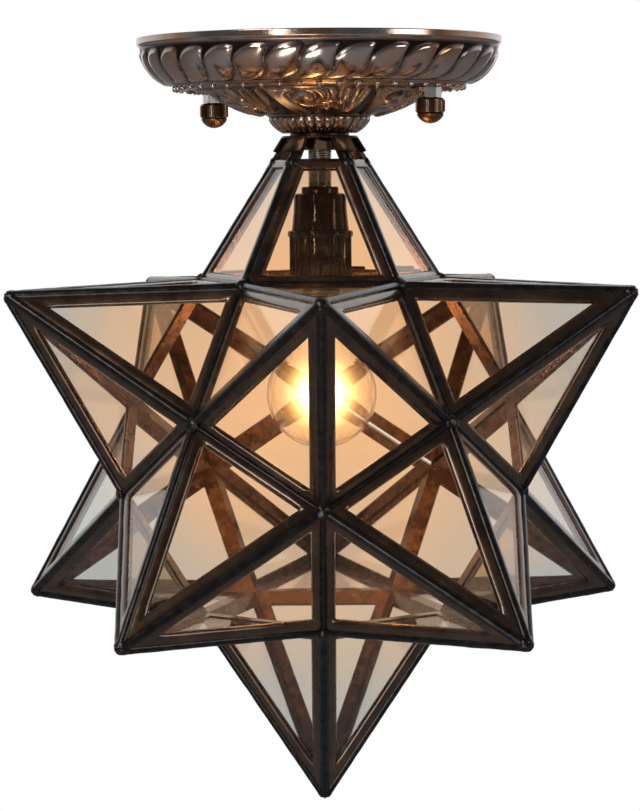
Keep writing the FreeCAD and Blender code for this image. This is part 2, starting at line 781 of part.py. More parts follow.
def make_holder():
    bore = "tube_radius + tube_play"
    keep("holder_cap", turned("holder_cap_body", [
        (bore, "-holder_top"),
        ("neck_radius", "-holder_top"),
        ("neck_radius", "-holder_top - neck_tall"),
        ("holder_top_radius - holder_edge", "-holder_top - neck_tall"),
        ("holder_top_radius", "-holder_top - neck_tall - holder_edge"),
        ("holder_step_radius", "-holder_step"),
        ("holder_step_radius - holder_wall", "-holder_step"),
        ("holder_step_radius - holder_wall", "-holder_top - neck_wall_deep"),
        (bore, "-holder_top - neck_wall_deep"),
    ]))
    keep("holder_skirt", turned("holder_skirt_body", [
        ("insert_radius + insert_play", "-holder_step"),
        ("skirt_flange_radius - skirt_edge", "-holder_step"),
        ("skirt_flange_radius", "-holder_step - skirt_edge"),
        ("skirt_flange_radius", "-holder_step - skirt_flange_tall"),
        ("skirt_radius", "-holder_step - skirt_flange_tall - skirt_step"),
        ("skirt_radius", "-holder_step - skirt_tall"),
        ("skirt_radius - skirt_wall", "-holder_step - skirt_tall"),
        ("skirt_radius - skirt_wall", "-holder_step - skirt_lip"),
        ("insert_radius + insert_play", "-holder_step - skirt_lip"),
    ]))
    insert = primitive("Cylinder", "insert_blank", place(z=-val("insert_foot")), Radius="insert_radius",
                       Height="insert_tall")
    keep("holder_insert", insert)
    keep("screw_shell", turned("screw_shell_body", [
        ("shell_radius - shell_wall", "-insert_foot"),
        ("shell_radius", "-insert_foot"),
        ("shell_radius", "-insert_foot - shell_tall"),
        ("shell_radius - shell_wall", "-insert_foot - shell_tall"),
    ]))
    spring_low = place(z=-val("insert_foot") - val("spring_tall"))
    keep("centre_contact", primitive("Cylinder", "contact_spring", spring_low, Radius="spring_radius",
                                     Height="spring_tall"))
    screws = []
    for side in (-1, 1):
        screw = primitive("Cylinder", "terminal_%d" % side, Radius="terminal_radius", Height="terminal_tall")
        screw.Placement = strap_place() * place(side * val("terminal_reach"), 0, -val("insert_top"))
        screws.append(screw)
    keep("terminal_screws", group("terminal_pair", screws))


# ----------------------------------------------------------------------- lamp

def globe_section():
    """Section of the lamp's glass: a ball that runs through a hollow into a straight neck."""
    ball = val("globe_radius")
    centre = -val("globe_depth")
    neck = val("bulb_neck_radius")
    neck_z = -val("base_low") - val("bulb_neck_out")
    top_z = -val("base_low") + val("bulb_neck_in")
    wall = val("bulb_wall")
    side = math.radians(val("globe_join"))
    join = V(ball * math.sin(side), 0, centre + ball * math.cos(side))
    equator = V(ball, 0, centre)
    low = V(0, 0, centre - ball)
    waist = V((neck + join.x) / 2 - val("waist_in"), 0, (neck_z + join.z) / 2 + val("waist_drop"))
    edges = [
        Part.makeLine(V(neck, 0, top_z), V(neck, 0, neck_z)),
        Part.Arc(V(neck, 0, neck_z), waist, join).toShape(),
        Part.Arc(join, equator, low).toShape(),
    ]
    return Part.Wire(edges), wall


def make_lamp():
    keep("lamp_eyelet", primitive("Cylinder", "eyelet_disc", place(z=-val("eyelet_top") - val("eyelet_tall")),
                                  Radius="eyelet_radius", Height="eyelet_tall"))
    keep("lamp_insulator", turned("insulator_body", [
        ("0", "-eyelet_top - eyelet_tall"),
        ("eyelet_radius + insulator_lip", "-eyelet_top - eyelet_tall"),
        ("button_radius", "-base_top"),
        ("0", "-base_top"),
    ]))
    keep("lamp_base", turned("lamp_base_body", [
        ("0", "-base_top"),
        ("button_radius", "-base_top"),
        ("base_radius", "-base_top - base_shoulder"),
        ("base_radius", "-base_low + flare_tall"),
        ("base_flare", "-base_low"),
        ("base_flare - base_wall", "-base_low"),
        ("base_radius - base_wall", "-base_low + flare_tall"),
        ("base_radius - base_wall", "-base_top - base_shoulder - base_wall / 2"),
        ("button_radius - base_wall", "-base_top - base_wall"),
        ("0", "-base_top - base_wall"),
    ]))
    wire, wall = globe_section()
    globe = doc.addObject("Part::Feature", "globe_blown")
    neck_top = -val("base_low") + val("bulb_neck_in")
    closing = [
        Part.makeLine(V(0, 0, -val("globe_low")), V(0, 0, neck_top)),
        Part.makeLine(V(0, 0, neck_top), V(val("bulb_neck_radius"), 0, neck_top)),
    ]
    outer = Part.Face(Part.Wire(wire.Edges + closing)).revolve(V(0, 0, 0), V(0, 0, 1), TURN)
    open_top = [face for face in outer.Faces if face.CenterOfMass.z > neck_top - TOUCH]
    globe.Shape = outer.makeThickness(open_top, -wall, TOUCH)
    keep("lamp_globe", globe)
    stem_low = neck_top - val("stem_clear") - val("stem_long")
    keep("lamp_stem", primitive("Cone", "stem_glass", place(z=stem_low), Radius1="stem_radius / 2",
                                Radius2="stem_radius + stem_flare", Height="stem_long"))
    make_filament(stem_low)


def make_filament(stem_foot):
    """Two support wires from the stem and an open ring of coiled wire between them."""
    wire = val("filament_wire")
    reach = val("filament_ring")
    level = -val("globe_depth")
    centre = V(0, 0, level)
    gap = val("filament_gap")
    first = math.radians(90 - gap / 2)
    last = math.radians(90 + gap / 2 - TURN)
    middle = (first + last) / 2
    arc = Part.Arc(centre + V(reach * math.cos(first), reach * math.sin(first), 0),
                   centre + V(reach * math.cos(middle), reach * math.sin(middle), 0),
                   centre + V(reach * math.cos(last), reach * math.sin(last), 0)).toShape()
    start = arc.valueAt(arc.FirstParameter)
    along = arc.tangentAt(arc.FirstParameter)
    section = Part.Wire(Part.makeCircle(2 * wire, start, along))
    coil = Part.Wire(arc).makePipeShell([section], True, False)
    solids = [coil]
    # the wires' roots stand apart across the stem's tip, on its axis's far sides
    near_axis = val("stem_radius") / 4 / reach
    for end in (start, arc.valueAt(arc.LastParameter)):
        foot = V(end.x * near_axis, end.y * near_axis, stem_foot + val("filament_root"))
        line = end - foot
        solids.append(Part.makeCylinder(wire, line.Length, foot, line))
    filament = doc.addObject("Part::Feature", "filament_wires")
    filament.Shape = solids[0].fuse(solids[1:])
    keep("lamp_filament", filament)


# ----------------------------------------------------------- leads and block

def lead(name, offset):
    """An insulated lead: up through the tube, then over in one bend to the terminal block."""
    radius = val("lead_radius")
    bend = val("lead_bend")
    low = -val("insert_top")
    level = -val("lead_height")
    corner = V(0, offset, level - bend)
    eighth = math.radians(TURN / 8)
    mid = V(bend * (1 - math.cos(eighth)), offset, level - bend + bend * math.sin(eighth))
    over = V(bend, offset, level)
    path = Part.Wire([
        Part.makeLine(V(0, offset, low), corner),
        Part.Arc(corner, mid, over).toShape(),
        Part.makeLine(over, V(val("block_near"), offset, level)),
    ])
    section = Part.Wire(Part.makeCircle(radius, V(0, offset, low), V(0, 0, 1)))
    tube = path.makePipeShell([section], True, False)
    long = path.Length
    expected = math.pi * radius ** 2 * long
    print(name, "length", round(long, 1), "bend", bend, "volume ratio", round(tube.Volume / expected, 4))
    feature = doc.addObject("Part::Feature", name)
    feature.Shape = tube
    feature.Placement = strap_place()
    return feature


def earth_lead():
    """A short lead from the terminal block to the earth screw on the strap."""
    radius = val("lead_radius")
    bend = val("earth_bend")
    side = val("earth_offset")
    level = -val("lead_height")
    end_x = -val("earth_reach")
    top = -val("strap_thick") - val("earth_head_tall")
    corner = V(end_x + bend, side, level)
    eighth = math.radians(TURN / 8)
    mid = V(end_x + bend * (1 - math.sin(eighth)), side, level + bend * (1 - math.cos(eighth)))
    path = Part.Wire([
        Part.makeLine(V(val("block_near"), side, level), corner),
        Part.Arc(corner, mid, V(end_x, side, level + bend)).toShape(),
        Part.makeLine(V(end_x, side, level + bend), V(end_x, side, top)),
    ])
    section = Part.Wire(Part.makeCircle(radius, V(val("block_near"), side, level), V(1, 0, 0)))
    feature = doc.addObject("Part::Feature", "earth_lead_tube")
    feature.Shape = path.makePipeShell([section], True, False)
    feature.Placement = strap_place()
    print("earth_lead length", round(path.Length, 1), "bend", bend)
    keep("earth_lead", feature)


def make_wiring():
    pair = [lead("lead_live", val("lead_offset")), lead("lead_neutral", -val("lead_offset"))]
    keep("supply_leads", group("lead_pair", pair))
    earth_lead()
    block = primitive("Box", "block_blank", Length="block_long", Width="block_wide", Height="block_tall")
    low = -val("strap_thick") - val("block_tall")
    block.Placement = strap_place() * place(val("block_near"), -val("block_wide") / 2, low)
    bores = []
    for row in (-1, 0, 1):
        for end in (0.25, 0.75):
            bore = primitive("Cylinder", "block_bore_%d_%d" % (row, end * 4), Radius="block_screw",
                             Height="block_screw_deep")
            bore.Placement = strap_place() * place(val("block_near") + end * val("block_long"),
                                                   row * val("block_wide") / 3, low)
            bores.append(bore)
    keep("terminal_block", cut("block_bored", block, group("block_bores", bores)))
    shank = primitive("Cylinder", "earth_shank", Radius="earth_head / 2", Height="strap_thick")
    shank.Placement = strap_place() * place(-val("earth_reach"), val("earth_offset"), -val("strap_thick"))
    head = primitive("Cylinder", "earth_top", Radius="earth_head", Height="earth_head_tall")
    head.Placement = strap_place() * place(-val("earth_reach"), val("earth_offset"),
                                           -val("strap_thick") - val("earth_head_tall"))
    keep("earth_screw", joined("earth_screw_whole", [shank, head]))


# ----------------------------------------------------------------- door hinge

def hinge_place():
    """The hinge line: origin at the middle of the door's top edge, X along it, Z outwards on the bisector."""
    outward = math.degrees(math.atan2(val("core_in"), val("apothem")))
    edge = place(y=-val("apothem"), z=val("core_in") - val("star_drop"), axis=(1, 0, 0), angle=90 - outward)
    return spin(DOOR_AZIMUTH) * edge


def knuckle(name, start, long, bore):
    """One length of the hinge tube about the hinge line."""
    rise = val("hinge_axis_rise")
    along = place(start, 0, rise, axis=(0, 1, 0), angle=90)
    outer = primitive("Cylinder", name + "_tube", hinge_place() * along, Radius="hinge_tube")
    outer.Height = long
    over = val("drill_over")
    hole = primitive("Cylinder", name + "_hole", hinge_place() * along * place(z=-over), Radius=bore)
    hole.Height = long + 2 * over
    return outer, hole


def leaf(name, start, long, on_door):
    """A flat leaf on one side of the valley, from under the tube outwards."""
    half = val("valley_half")
    lean = -(90 - half) if on_door else (90 - half)
    foot = val("hinge_axis_rise") * math.cos(math.radians(half))
    plate = primitive("Box", name + "_plate", Width="leaf_wide", Height="leaf_thick")
    plate.Length = long
    face = hinge_place() * place(axis=(1, 0, 0), angle=lean)
    step = -foot - val("leaf_wide") if on_door else foot
    plate.Placement = face * place(start, step, 0)
    return plate


def make_hinge():
    whole = val("hinge_long")
    play = val("knuckle_play")
    third = whole / 3
    bore = "hinge_pin + hinge_pin_play"
    fixed = []
    for index, start in enumerate((-whole / 2, whole / 2 - third)):
        tube, hole = knuckle("fixed_knuckle_%d" % index, start, third, bore)
        plate = leaf("fixed_leaf_%d" % index, start, third, False)
        fixed.append(cut("fixed_hinge_%d" % index, joined("fixed_pair_%d" % index, [tube, plate]), hole))
    keep("hinge_leaves_fixed", group("fixed_leaves", fixed))
    long = third - 2 * play
    tube, hole = knuckle("door_knuckle", -long / 2, long, bore)
    plate = leaf("door_leaf", -long / 2, long, True)
    keep("hinge_leaf_door", cut("door_hinge", joined("door_pair", [tube, plate]), hole))
    pin = primitive("Cylinder", "hinge_rod", Radius="hinge_pin", Height="hinge_long + 2 * hinge_pin_proud")
    end = -whole / 2 - val("hinge_pin_proud")
    pin.Placement = hinge_place() * place(end, 0, val("hinge_axis_rise"), (0, 1, 0), 90)
    keep("hinge_pin", pin)


# ------------------------------------------------------------------ door hook

def valley_place():
    """The lower right edge of the door's opening: X up the valley from its low corner, Y to the door."""
    radius = val("base_vertex")
    # the edge's two ends in the star's own frame
    ring_radius = math.sqrt(val("core_in") ** 2 + radius ** 2)
    low_z = -ring_radius * math.sqrt((5 - 2 * math.sqrt(5)) / 15)
    around = math.sqrt(ring_radius ** 2 - low_z ** 2)
    door_turn = math.radians(DOOR_AZIMUTH)
    low = V(around * math.sin(door_turn), -around * math.cos(door_turn), low_z)
    high = V(0, around, -low_z)
    along = (high - low).normalize()
    outward = (high + low).normalize()
    to_door = outward.cross(along)
    matrix = FreeCAD.Matrix(along.x, to_door.x, outward.x, low.x,
                            along.y, to_door.y, outward.y, low.y,
                            along.z, to_door.z, outward.z, low.z - val("star_drop"),
                            0, 0, 0, 1)
    return FreeCAD.Placement(matrix)


def post(name, side):
    """A peg on the came beside the valley, square to the hook's plane; its foot sits on the came."""
    at = valley_place()
    x = val("hook_along")
    y = side * val("hook_aside")
    tall = val("hook_lift") + val("hook_wire") + val("post_stand")
    peg = primitive("Cylinder", name + "_rod", at * place(x, y, 0), Radius="post_radius")
    peg.Height = tall
    lean = side * (90 - val("valley_half"))
    under = primitive("Box", name + "_under", Length="pane_base", Width="pane_base", Height="came_thick * 2")
    half = val("half_base")
    under.Placement = at * place(x, 0, 0, (1, 0, 0), lean) * place(-half, -half, -2 * val("came_thick"))
    return cut(name + "_seated", peg, under)


def make_hook():
    keep("hook_pivot", post("pivot", -1))
    keep("door_peg", post("peg", 1))
    at = valley_place()
    lift = val("hook_lift")
    wire = val("hook_wire")
    eye = val("post_radius") + val("hook_play") + wire
    reach = 2 * val("hook_aside")
    x = val("hook_along")
    y = -val("hook_aside")
    # the eye round the pivot, the shank beside it, and the bend that catches the peg
    ring_shape = Part.makeTorus(eye, wire, V(0, 0, 0), V(0, 0, 1))
    eighth = math.radians(TURN / 8)
    root = V(-wire, -eye, 0)
    bend_mid = V(-reach - eye * math.sin(eighth), -eye * math.cos(eighth), 0)
    shank = Part.makeLine(root, V(-reach, -eye, 0))
    bend = Part.Arc(V(-reach, -eye, 0), bend_mid, V(-reach - eye, 0, 0)).toShape()
    path = Part.Wire([shank, bend])
    section = Part.Wire(Part.makeCircle(wire, root, V(-1, 0, 0)))
    arm = path.makePipeShell([section], True, False)
    hook = doc.addObject("Part::Feature", "hook_wire_form")
    hook.Shape = ring_shape.fuse(arm)
    hook.Placement = at * place(x, y, lift)
    keep("door_hook", hook)


# ----------------------------------------------------------------- the whole

def check_and_write():
    """Stop at any failed feature or bad solid, then write one file for each node."""
    doc.recompute()
    faults = []
    for item in doc.Objects:
        if "Invalid" in item.State or "Error" in item.State:
            faults.append("%s: %s" % (item.Name, item.State))
    for label, item in parts.items():
        shape = item.Shape
        if shape.isNull() or not shape.isValid() or not shape.Solids or shape.Volume <= 0:
            faults.append("%s: bad shape" % label)
    if faults:
        raise RuntimeError("; ".join(faults))
    os.makedirs("parts", exist_ok=True)
    for label, item in parts.items():
        item.Shape.exportStep("parts/%s.step" % label)
    print(len(parts), "nodes,", sum(len(item.Shape.Solids) for item in parts.values()), "solids")


make_star()
make_crown_cap()
make_canopy()
make_strap()
make_studs()
make_knob(-1, "left")
make_knob(1, "right")
make_tube()
make_holder()
make_lamp()
make_wiring()
make_hinge()
make_hook()
check_and_write()
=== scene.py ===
import json
import math
from contextlib import contextmanager
from types import SimpleNamespace
import bmesh
import bpy
import numpy as np
from mathutils import Matrix, Vector, noise

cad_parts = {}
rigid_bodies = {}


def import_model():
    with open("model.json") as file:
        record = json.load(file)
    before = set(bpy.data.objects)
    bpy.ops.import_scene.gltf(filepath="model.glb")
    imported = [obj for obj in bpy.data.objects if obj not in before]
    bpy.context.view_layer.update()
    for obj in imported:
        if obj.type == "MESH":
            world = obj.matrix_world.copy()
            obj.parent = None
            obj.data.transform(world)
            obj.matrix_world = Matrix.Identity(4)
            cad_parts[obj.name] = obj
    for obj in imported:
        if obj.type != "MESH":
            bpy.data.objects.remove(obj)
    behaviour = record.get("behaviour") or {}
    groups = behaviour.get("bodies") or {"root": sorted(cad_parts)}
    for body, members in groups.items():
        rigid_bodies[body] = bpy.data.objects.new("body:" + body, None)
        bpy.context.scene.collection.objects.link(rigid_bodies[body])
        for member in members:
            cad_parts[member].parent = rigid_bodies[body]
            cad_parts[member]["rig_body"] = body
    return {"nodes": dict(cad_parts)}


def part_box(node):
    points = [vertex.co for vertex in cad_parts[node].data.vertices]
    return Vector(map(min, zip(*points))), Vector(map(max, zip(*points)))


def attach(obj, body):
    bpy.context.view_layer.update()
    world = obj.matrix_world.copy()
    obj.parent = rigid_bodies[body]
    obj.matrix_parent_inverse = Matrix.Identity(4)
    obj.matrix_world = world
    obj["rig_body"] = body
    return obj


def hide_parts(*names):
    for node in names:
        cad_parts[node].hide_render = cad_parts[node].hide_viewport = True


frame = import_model()

bl_info = {
    "name": "Star pendant",
    "version": (1, 0, 0),
    "blender": (4, 5, 0),
    "location": "3D View > Sidebar > Star pendant",
    "description": "Cames, panes, pressed plate, holder and lamp of a twelve-pointed glass star lantern",
    "category": "Object",
}

MM = 0.001
TURN = 2 * math.pi
PANES = 5
PANE_STEP = TURN / PANES
UPPER_TILT = math.atan(2.0)
LOWER_TILT = math.pi - UPPER_TILT
TUBE_BORE = 5.05 * MM
TUBE_NUT_FLATS = 14.0 * MM
STUD_BORE = 2.45 * MM
STUD_NUT_FLATS = 8.0 * MM
BEAD_ROW = 59.9 * MM
BEAD_LEVEL = -20.6 * MM
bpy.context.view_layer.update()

# label: (steps round from the front, tilt from straight up, half turns about its own axis)
POINTS = {
    "crown": (0, 0, 0),
    "upper_front": (0, UPPER_TILT, 1),
    "upper_right": (1, UPPER_TILT, 1),
    "upper_left": (-1, UPPER_TILT, 1),
    "door": (2, UPPER_TILT, 1),
    "upper_back_left": (-2, UPPER_TILT, 1),
    "lower_front_right": (0.5, LOWER_TILT, 0),
    "lower_front_left": (-0.5, LOWER_TILT, 0),
    "lower_right": (1.5, LOWER_TILT, 0),
    "lower_left": (-1.5, LOWER_TILT, 0),
    "lower_back": (2.5, LOWER_TILT, 0),
    "bottom": (0, math.pi, 0),
}


# ---------------------------------------------------------------- properties

def length(name, description, default):
    """A length in metres whose default is given in millimetres."""
    return bpy.props.FloatProperty(name=name, description=description, default=default * MM, unit="LENGTH",
                                   precision=5)


def colour(name, description, default):
    return bpy.props.FloatVectorProperty(name=name, description=description, default=default, size=3,
                                         subtype="COLOR", min=0.0, max=1.0)


def count(name, description, default):
    return bpy.props.IntProperty(name=name, description=description, default=default, min=1)


class StarSizes(bpy.types.PropertyGroup):
    pane_base: length("Pane base", "Base edge of one pane's triangle", 62.6)
    pane_slant: length("Pane slant", "Height of one pane's triangle up its slant", 91.1)
    star_drop: length("Star drop", "Depth of the star's centre under the ceiling", 170.0)
    came_thick: length("Came thickness", "Thickness of the came across the pane", 3.0)
    side_inset: length("Side came", "Came's inner edge, from the arris", 6.3)
    base_inset: length("Base came", "Came's inner edge, from the valley", 4.55)
    door_gap: length("Door gap", "Gap all round the hinged point", 0.8)
    ridge: length("Ridge", "Radius of the solder along an arris", 2.0)
    valley_bead: length("Valley bead", "Radius of the solder along a valley", 1.35)
    tip_blob: length("Tip blob", "Radius of the solder at a point's tip", 3.4)
    node_blob: length("Node blob", "Radius of the solder where valleys meet", 3.3)
    crown_bar: length("Crown bar", "Height up the slant of the bars across the crown's panes", 53.0)
    slim_side: length("Slim side came", "Came's inner edge above the crown's bars, from the arris", 3.1)


class PlateSizes(bpy.types.PropertyGroup):
    sheet: length("Sheet", "Thickness of the pressed sheet", 0.8)
    flutes: count("Flutes", "Slanted lobes round the shoulder", 32)
    flute_high: length("Flute height", "Relief of a lobe", 1.25)
    beads: count("Beads", "Beads on the step", 48)
    bead_radius: length("Bead radius", "Radius of one bead", 1.15)
    scrolls: count("Scrolls", "Repeats of the scroll work", 6)
    scroll_high: length("Scroll height", "Relief of the scroll work", 1.5)
    boss_flutes: count("Boss flutes", "Small flutes round the boss", 30)
    stud_reach: length("Stud reach", "Distance of a stud from the axis", 52.8)
    stud_turn: bpy.props.FloatProperty(name="Stud turn", description="Angle of the line through both studs",
                                       default=math.radians(-32.0), subtype="ANGLE")


class LampSizes(bpy.types.PropertyGroup):
    globe_radius: length("Globe radius", "Outer radius of the lamp's ball", 22.8)
    base_radius: length("Base radius", "Radius over the lamp's screw", 6.8)
    screw_pitch: length("Screw pitch", "Pitch of the lamp's screw", 2.82)
    coil_ring: length("Filament ring", "Radius of the filament's ring", 8.0)
    coil_radius: length("Coil radius", "Radius of the coiled filament wire", 0.62)
    coil_turns: count("Coil turns", "Turns of the filament's coil", 60)
    tube_pitch: length("Tube pitch", "Pitch of the tube's thread", 1.0)
    skirt_ribs: count("Skirt ribs", "Ribs round the holder's skirt", 30)
    knurls: count("Knurls", "Ridges round a knurled nut", 40)


class Finishes(bpy.types.PropertyGroup):
    came: colour("Came", "Dark patina of the came", (0.050, 0.027, 0.017))
    came_worn: colour("Came, worn", "Rubbed parts of the came", (0.16, 0.092, 0.048))
    # Painted lamp light: the lit copper tone given to the came's inner side, which faces the lamp.
    came_lamp_lit: colour("Came, inside", "Copper tone of the came's inner side", (0.20, 0.098, 0.056))
    solder: colour("Solder", "Blackened solder", (0.016, 0.014, 0.013))
    plate: colour("Plate", "Raised parts of the pressed plate", (0.47, 0.395, 0.36))
    plate_dark: colour("Plate, dark", "Hollows of the pressed plate", (0.030, 0.020, 0.018))
    plate_copper: colour("Plate, copper", "Copper bloom on the pressed plate", (0.50, 0.26, 0.14))
    bakelite: colour("Bakelite", "Holder", (0.006, 0.005, 0.005))
    steel: colour("Steel", "Zinc plated steel", (0.55, 0.55, 0.54))
    tube: colour("Tube", "Threaded tube", (0.36, 0.37, 0.34))
    knurled: colour("Knurled nut", "Dark bronze of the knurled nuts", (0.10, 0.060, 0.038))
    button: colour("Button", "Domed end of the knurled nuts", (0.22, 0.10, 0.050))
    brass: colour("Brass", "Plain brass", (0.62, 0.42, 0.17))
    pane_far: colour("Pane, far", "Glass far from the lamp", (0.70, 0.67, 0.615))
    # Painted lamp light: the peach given to the glass near the lamp.
    pane_lamp_lit: colour("Pane, near", "Glass near the lamp", (1.0, 0.72, 0.48))
    glow: colour("Glow", "Light of the lamp in the glass", (1.0, 0.52, 0.20))


class PendantSettings(bpy.types.PropertyGroup):
    star: bpy.props.PointerProperty(type=StarSizes)
    plate: bpy.props.PointerProperty(type=PlateSizes)
    lamp: bpy.props.PointerProperty(type=LampSizes)
    finish: bpy.props.PointerProperty(type=Finishes)


def settings():
    return bpy.context.scene.star_pendant


def globe_centre():
    return Vector((0, 0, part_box("lamp_globe")[0].z + settings().lamp.globe_radius))


# --------------------------------------------------------------- mesh helpers

class Shape:
    """Gathers the vertices and faces of one mesh; mark is a number kept with each vertex."""

    def __init__(self):
        self.verts = []
        self.faces = []
        self.marks = []
        self.slots = []
        self.size = 0

    def add(self, verts, faces, mark=0.0):
        verts = np.asarray(verts, dtype=float).reshape(-1, 3)
        self.verts.append(verts)
        self.marks.append(np.broadcast_to(np.asarray(mark, dtype=float), (len(verts),)))
        self.faces.extend(tuple(index + self.size for index in face) for face in faces)
        self.slots.extend([0] * len(faces))
        self.size += len(verts)
        return self

    def merge(self, other, matrix=None):
        """Add another shape, moved by a matrix."""
        if not other.size:
            return self
        verts = np.concatenate(other.verts)
        if matrix:
            verts = verts @ np.array(matrix.to_3x3()).T + np.array(matrix.translation)
        first = len(self.slots)
        self.add(verts, other.faces, np.concatenate(other.marks))
        self.slots[first:] = other.slots
        return self

    def in_slot(self, slot):
        """Give every face one of the piece's materials, by its number."""
        self.slots = [slot] * len(self.faces)
        return self

    def mesh(self, name):
        data = bpy.data.meshes.new(name)
        data.from_pydata(np.concatenate(self.verts).tolist(), [], self.faces)
        layer = data.attributes.new("mark", "FLOAT", "POINT")
        layer.data.foreach_set("value", np.concatenate(self.marks))
        data.polygons.foreach_set("material_index", self.slots)
        with edited(data) as work:
            bmesh.ops.recalc_face_normals(work, faces=work.faces)
        data.polygons.foreach_set("use_smooth", [True] * len(data.polygons))
        data.update()
        return data


@contextmanager
def edited(data):
    """The mesh's editable form, written back to it at the end."""
    work = bmesh.new()
    work.from_mesh(data)
    yield work
    work.to_mesh(data)
    work.free()


def new_object(name, data, place=(0, 0, 0)):
    """A new object in the scene."""
    made = bpy.data.objects.new(name, data)
    made.location = place
    bpy.context.scene.collection.objects.link(made)
    return made


def show(name, data, materials, node, body="root", sharp=40.0):
    """Put a finished shape or mesh in the scene: its finish, its body and the node that it stands for."""
    if isinstance(data, Shape):
        data = data.mesh(name)
    if data.materials:
        data.materials.clear()
    for material in materials:
        data.materials.append(material)
    if sharp:
        data.set_sharp_from_angle(angle=math.radians(sharp))
    piece = new_object(name, data)
    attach(piece, body)
    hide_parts(node)


def circle(radius, level, around):
    """A level circle of places about Z. Radius and level are one number, or one for each place."""
    turns = np.arange(around) * TURN / around
    return list(zip(radius * np.cos(turns), radius * np.sin(turns), np.broadcast_to(level, (around,))))


def circles(rings, around):
    """The places of several circles, one after another, given as (radius, level)."""
    return [place for radius, level in rings for place in circle(radius, level, around)]


def ring_faces(rings, around, closed=False):
    """Quads between rings of vertices; closed joins the last ring to the first."""
    faces = []
    for ring in range(rings if closed else rings - 1):
        low, high = ring * around, (ring + 1) % rings * around
        for step in range(around):
            after = (step + 1) % around
            faces.append((low + step, low + after, high + after, high + step))
    return faces


def closed_rings(verts, around, mark=0.0):
    """A shape of rings of vertices, the last ring joined to the first."""
    return Shape().add(verts, ring_faces(len(verts) // around, around, closed=True), mark)


def lathe(profile, around=64, closed=False):
    """Turn (radius, height) points about Z. A radius of 0 makes a pole; closed joins end to start."""
    verts, starts, poles = [], {}, {}
    for index, (radius, height) in enumerate(profile):
        if radius < 1e-7:
            poles[index] = len(verts)
            verts.append((0.0, 0.0, height))
        else:
            starts[index] = len(verts)
            verts.extend(circle(radius, height, around))
    faces = []
    pairs = list(zip(range(len(profile)), range(1, len(profile))))
    if closed:
        pairs.append((len(profile) - 1, 0))
    for pair in pairs:
        rings = [starts[index] for index in pair if index in starts]
        for step in range(around if rings else 0):
            after = (step + 1) % around
            if len(rings) == 2:
                faces.append((rings[0] + step, rings[0] + after, rings[1] + after, rings[1] + step))
            else:
                pole = next(poles[index] for index in pair if index in poles)
                faces.append((rings[0] + step, rings[0] + after, pole))
    return Shape().add(verts, faces)


def sweep(points, radii, sides=10):
    """A round bar along points, with its own radius at each, closed at both ends."""
    points = [Vector(point) for point in points]
    last = len(points) - 1
    verts = []
    side = None
    for index, point in enumerate(points):
        along = (points[min(index + 1, last)] - points[max(index - 1, 0)]).normalized()
        if side is None:
            side = along.orthogonal().normalized()
        side = (side - along * side.dot(along)).normalized()
        across = along.cross(side)
        for step in range(sides):
            angle = step * TURN / sides
            verts.append(point + (side * math.cos(angle) + across * math.sin(angle)) * radii[index])
    faces = ring_faces(len(points), sides)
    faces.append(tuple(range(sides)))
    faces.append(tuple(range(last * sides, (last + 1) * sides)))
    return Shape().add(verts, faces)


def blob(centre, radius, flat=1.0, outward=(0, 0, 1), seed=0.0, lump=0.16):
    """A drop of solder: a ball, flattened along outward and a little uneven."""
    work = bmesh.new()
    bmesh.ops.create_icosphere(work, subdivisions=3, radius=1.0)
    outward = Vector(outward).normalized()
    verts = []
    for vert in work.verts:
        ray = vert.co.normalized()
        high = 1.0 + lump * noise.noise(ray * 1.6 + Vector((seed, seed * 0.7, seed * 1.3)))
        ray -= outward * ray.dot(outward) * (1.0 - flat)
        verts.append(Vector(centre) + ray * radius * high)
    faces = [tuple(vert.index for vert in face.verts) for face in work.faces]
    work.free()
    return Shape().add(verts, faces)


def hexagon_nut(flats, tall, bore, low, around=96, chamfer=0.42):
    """A hexagon nut about Z with turned corners and a bore."""
    sixth = TURN / 6
    turns = np.arange(around) * TURN / around
    reach = flats / 2 / np.cos((turns + sixth / 2) % sixth - sixth / 2)
    inside = flats / 2 * 0.96
    drop = np.maximum(reach - inside, 0.0) * chamfer
    high = low + tall
    rings = [(bore, low), (inside, low), (reach, low + drop),
             (reach, high - drop), (inside, high), (bore, high)]
    return closed_rings(circles(rings, around), around)


def threaded(radius, depth, pitch, low, high, around=48, round_form=False):
    """Outer surface of a right-handed thread about Z, as rings that follow its helix."""
    turns = np.arange(around) * TURN / around
    verts = []
    for level in np.linspace(low, high, int((high - low) / pitch * 8) + 1):
        phase = (level / pitch - turns / TURN) % 1.0
        wave = 0.5 - 0.5 * np.cos(TURN * phase) if round_form else np.abs(2 * phase - 1)
        fade = min(1.0, (level - low) / pitch, (high - level) / pitch)
        reach = radius - depth * wave * fade - depth * 0.5 * (1.0 - fade)
        verts.extend(circle(reach, level, around))
    return verts


def threaded_pipe(node, depth, pitch, wall, around=48, round_form=False):
    """A pipe in a node's place, threaded outside and plain inside."""
    low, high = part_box(node)
    verts = threaded(high.x, depth, pitch, low.z, high.z, around, round_form)
    verts += circles([(high.x - wall, high.z), (high.x - wall, low.z)], around)
    return closed_rings(verts, around)


def softened(node, width, material, segments=2, angle=28.0):
    """A copy of a CAD node's mesh with its edges rounded, which stands for the node."""
    source = frame["nodes"][node]
    data = source.data.copy()
    with edited(data) as work:
        bmesh.ops.remove_doubles(work, verts=work.verts, dist=1e-6)
        bmesh.ops.dissolve_limit(work, angle_limit=math.radians(0.5), verts=work.verts, edges=work.edges)
        edges = [edge for edge in work.edges
                 if len(edge.link_faces) == 2 and edge.calc_face_angle(0.0) > math.radians(angle)]
        bmesh.ops.bevel(work, geom=edges, offset=width, segments=segments, affect="EDGES", clamp_overlap=True)
        bmesh.ops.triangulate(work, faces=[face for face in work.faces if len(face.verts) > 4])
    data.name = node + "_soft"
    data.polygons.foreach_set("use_smooth", [True] * len(data.polygons))
    show(node + "_piece", data, [material], node, source["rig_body"], 35.0)


